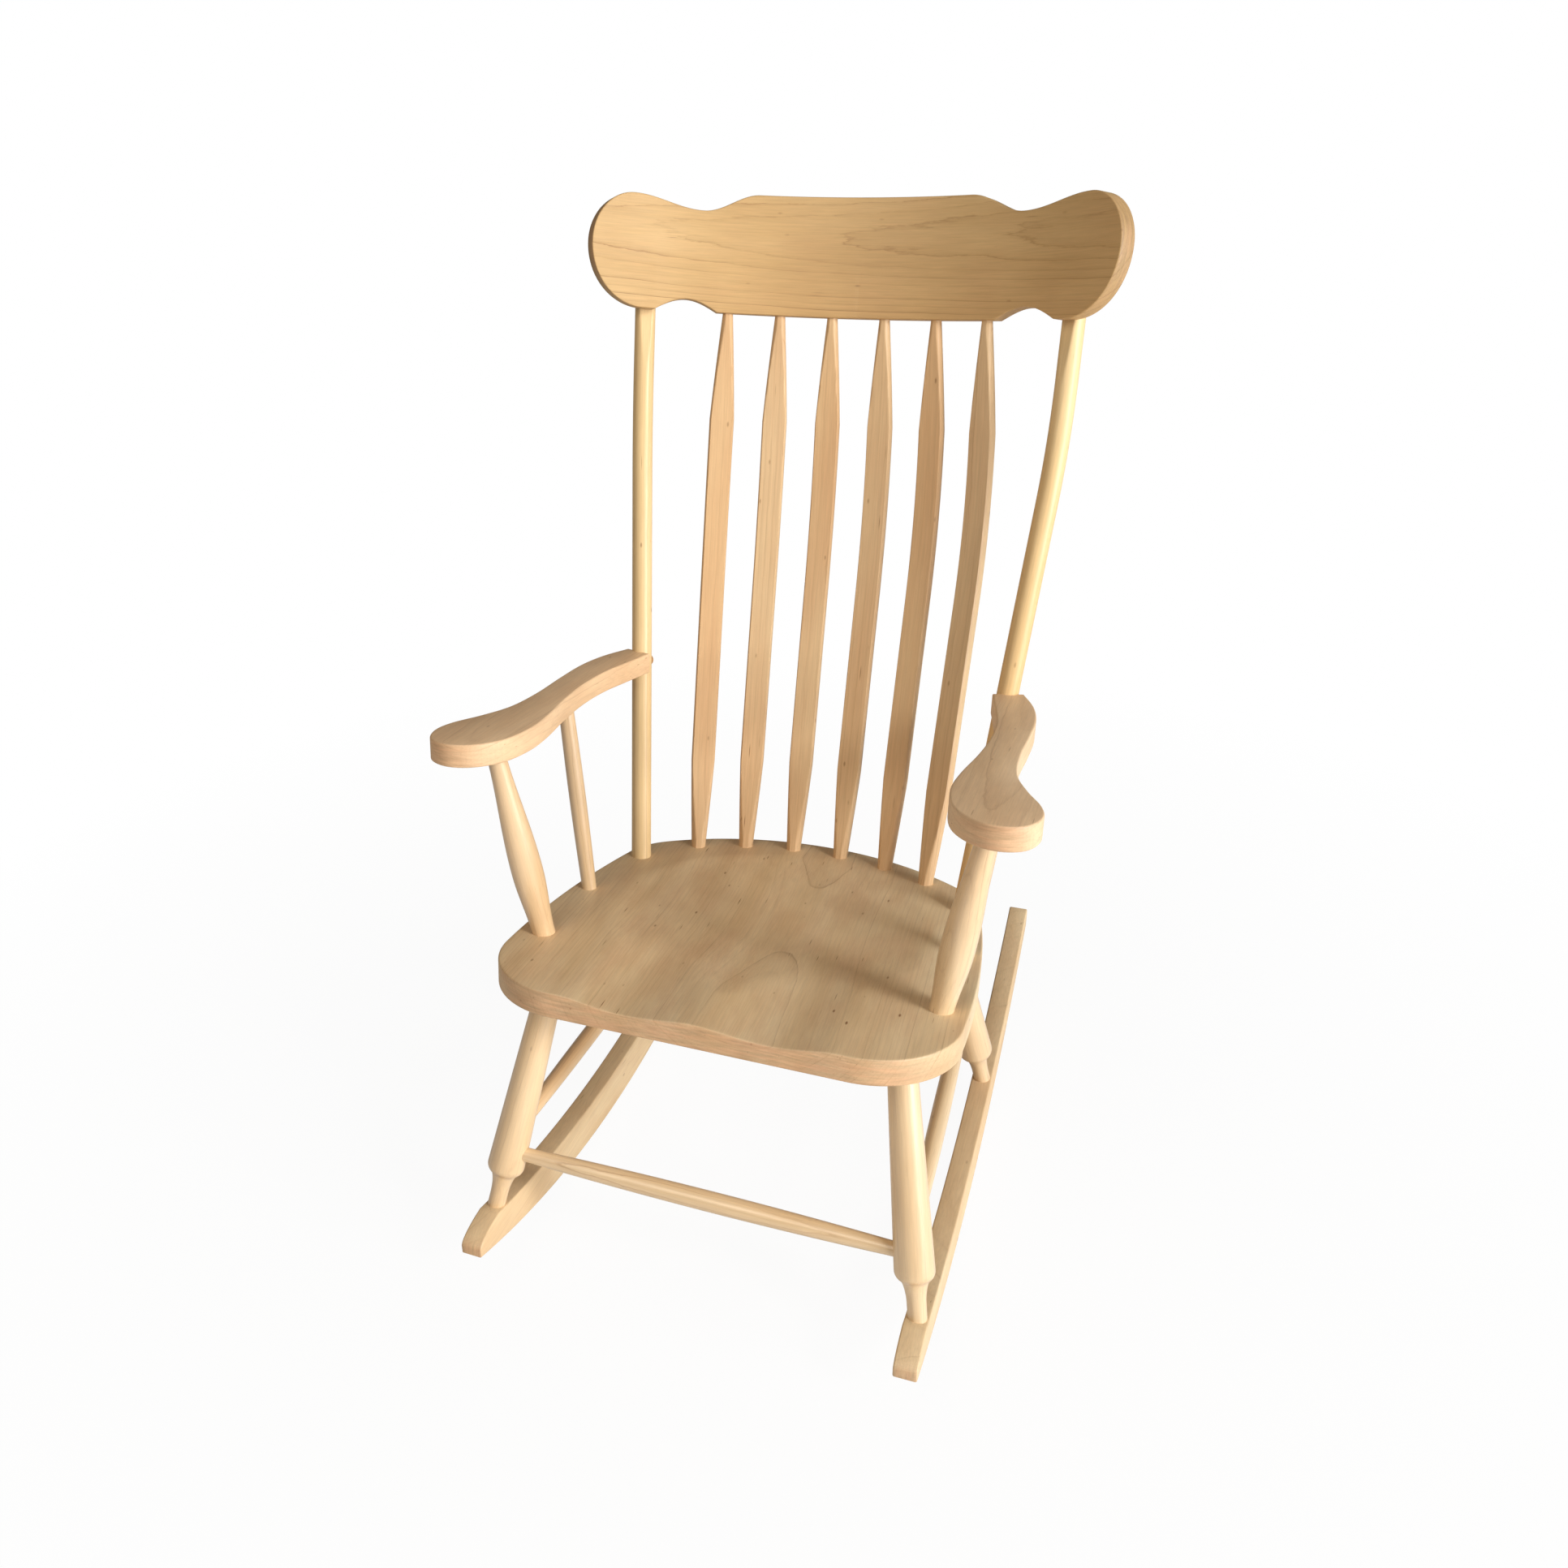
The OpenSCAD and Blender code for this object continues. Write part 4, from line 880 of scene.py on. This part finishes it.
def make_floor():
    """A pale floor, lit like the chair where it lies under it and white to the camera farther away."""
    reach = 30.0
    mesh = bpy.data.meshes.new("floor")
    corners = ((-reach, -reach), (reach, -reach), (reach, reach), (-reach, reach))
    mesh.from_pydata([(x, y, -0.0005) for x, y in corners], [], [(0, 1, 2, 3)])
    studio_floor = bpy.data.materials.new("white_studio_floor")
    node = partial(add, empty_tree(studio_floor))
    paint = node("BsdfDiffuse", "#F2F1EF")
    light = node("Emission", "#FFFFFF", Strength=1.0)
    away = node("VectorMath", node("NewGeometry", out="Position"), operation="LENGTH", out="Value")
    away = node("Math", away, 2.5, operation="DIVIDE")
    share = node("ValToRGB", away, stops=[(0.2, 0.94), (0.65, 1.0)])
    seen = node("Math", share, node("LightPath", out="Is Camera Ray"), operation="MULTIPLY")
    node("OutputMaterial", node("MixShader", seen, paint, light))
    mesh.materials.append(studio_floor)
    floor = bpy.data.objects.new("floor", mesh)
    bpy.context.scene.collection.objects.link(floor)


def make_world():
    """White to the camera and through anything clear, and a dim soft light for all the rest."""
    world = bpy.data.worlds.new("studio")
    bpy.context.scene.world = world
    node = partial(add, empty_tree(world))
    rays = node("LightPath").node.outputs
    seen = node("Math", rays["Is Camera Ray"], rays["Is Transmission Ray"], operation="MAXIMUM")
    soft = node("Background", "#FBF8F2", Strength=0.13)
    white = node("Background", "#FFFFFF", Strength=1.0)
    node("OutputWorld", node("MixShader", seen, soft, white))


def lamp(name, turn, high, far, size, watts, colour="#FFFFFF"):
    """A square soft light that looks at the chair. turn is from the front to the viewer's right."""
    data = bpy.data.lights.new(name, "AREA")
    data.size, data.energy, data.color = size, watts, hex_colour(colour)[:3]
    light = bpy.data.objects.new(name, data)
    bpy.context.scene.collection.objects.link(light)
    a, e = math.radians(turn), math.radians(high)
    way = Vector((math.sin(a) * math.cos(e), -math.cos(a) * math.cos(e), math.sin(e)))
    aim = Vector((0, 0, 0.55))
    light.location = aim + way * far
    light.rotation_mode = "QUATERNION"
    light.rotation_quaternion = (-way).to_track_quat("-Z", "Y")


def make_camera():
    """The photograph's place, turn and lens, found from the chair's own lines."""
    place = (0.4246, -1.4615, 1.3087)
    yaw, pitch, roll = 0.39325, 0.45849, -0.04016
    look = Vector((-math.sin(yaw) * math.cos(pitch), math.cos(yaw) * math.cos(pitch), -math.sin(pitch)))
    right0 = Vector((math.cos(yaw), math.sin(yaw), 0))
    up0 = right0.cross(look)
    right = right0 * math.cos(roll) + up0 * math.sin(roll)
    up = up0 * math.cos(roll) - right0 * math.sin(roll)
    data = bpy.data.cameras.new("camera")
    data.sensor_width, data.lens = 36.0, 32.408
    data.shift_x, data.shift_y = 0.0849, -0.0199
    data.clip_start, data.clip_end = 0.1, 60
    camera = bpy.data.objects.new("camera", data)
    bpy.context.scene.collection.objects.link(camera)
    turn = Matrix((right, up, -look)).transposed().to_4x4()
    camera.matrix_world = Matrix.Translation(place) @ turn
    bpy.context.scene.camera = camera


make_floor()
make_world()
lamp("window_on_the_right", 74, 10, 6.0, 1.7, 262)
lamp("upper_window_on_the_right", 63, 30, 6.0, 1.3, 150)
lamp("warm_light_in_front", -13, 40, 3.0, 1.6, 25, "#FFEFDC")
make_camera()
bpy.context.scene.view_settings.view_transform = "Standard"
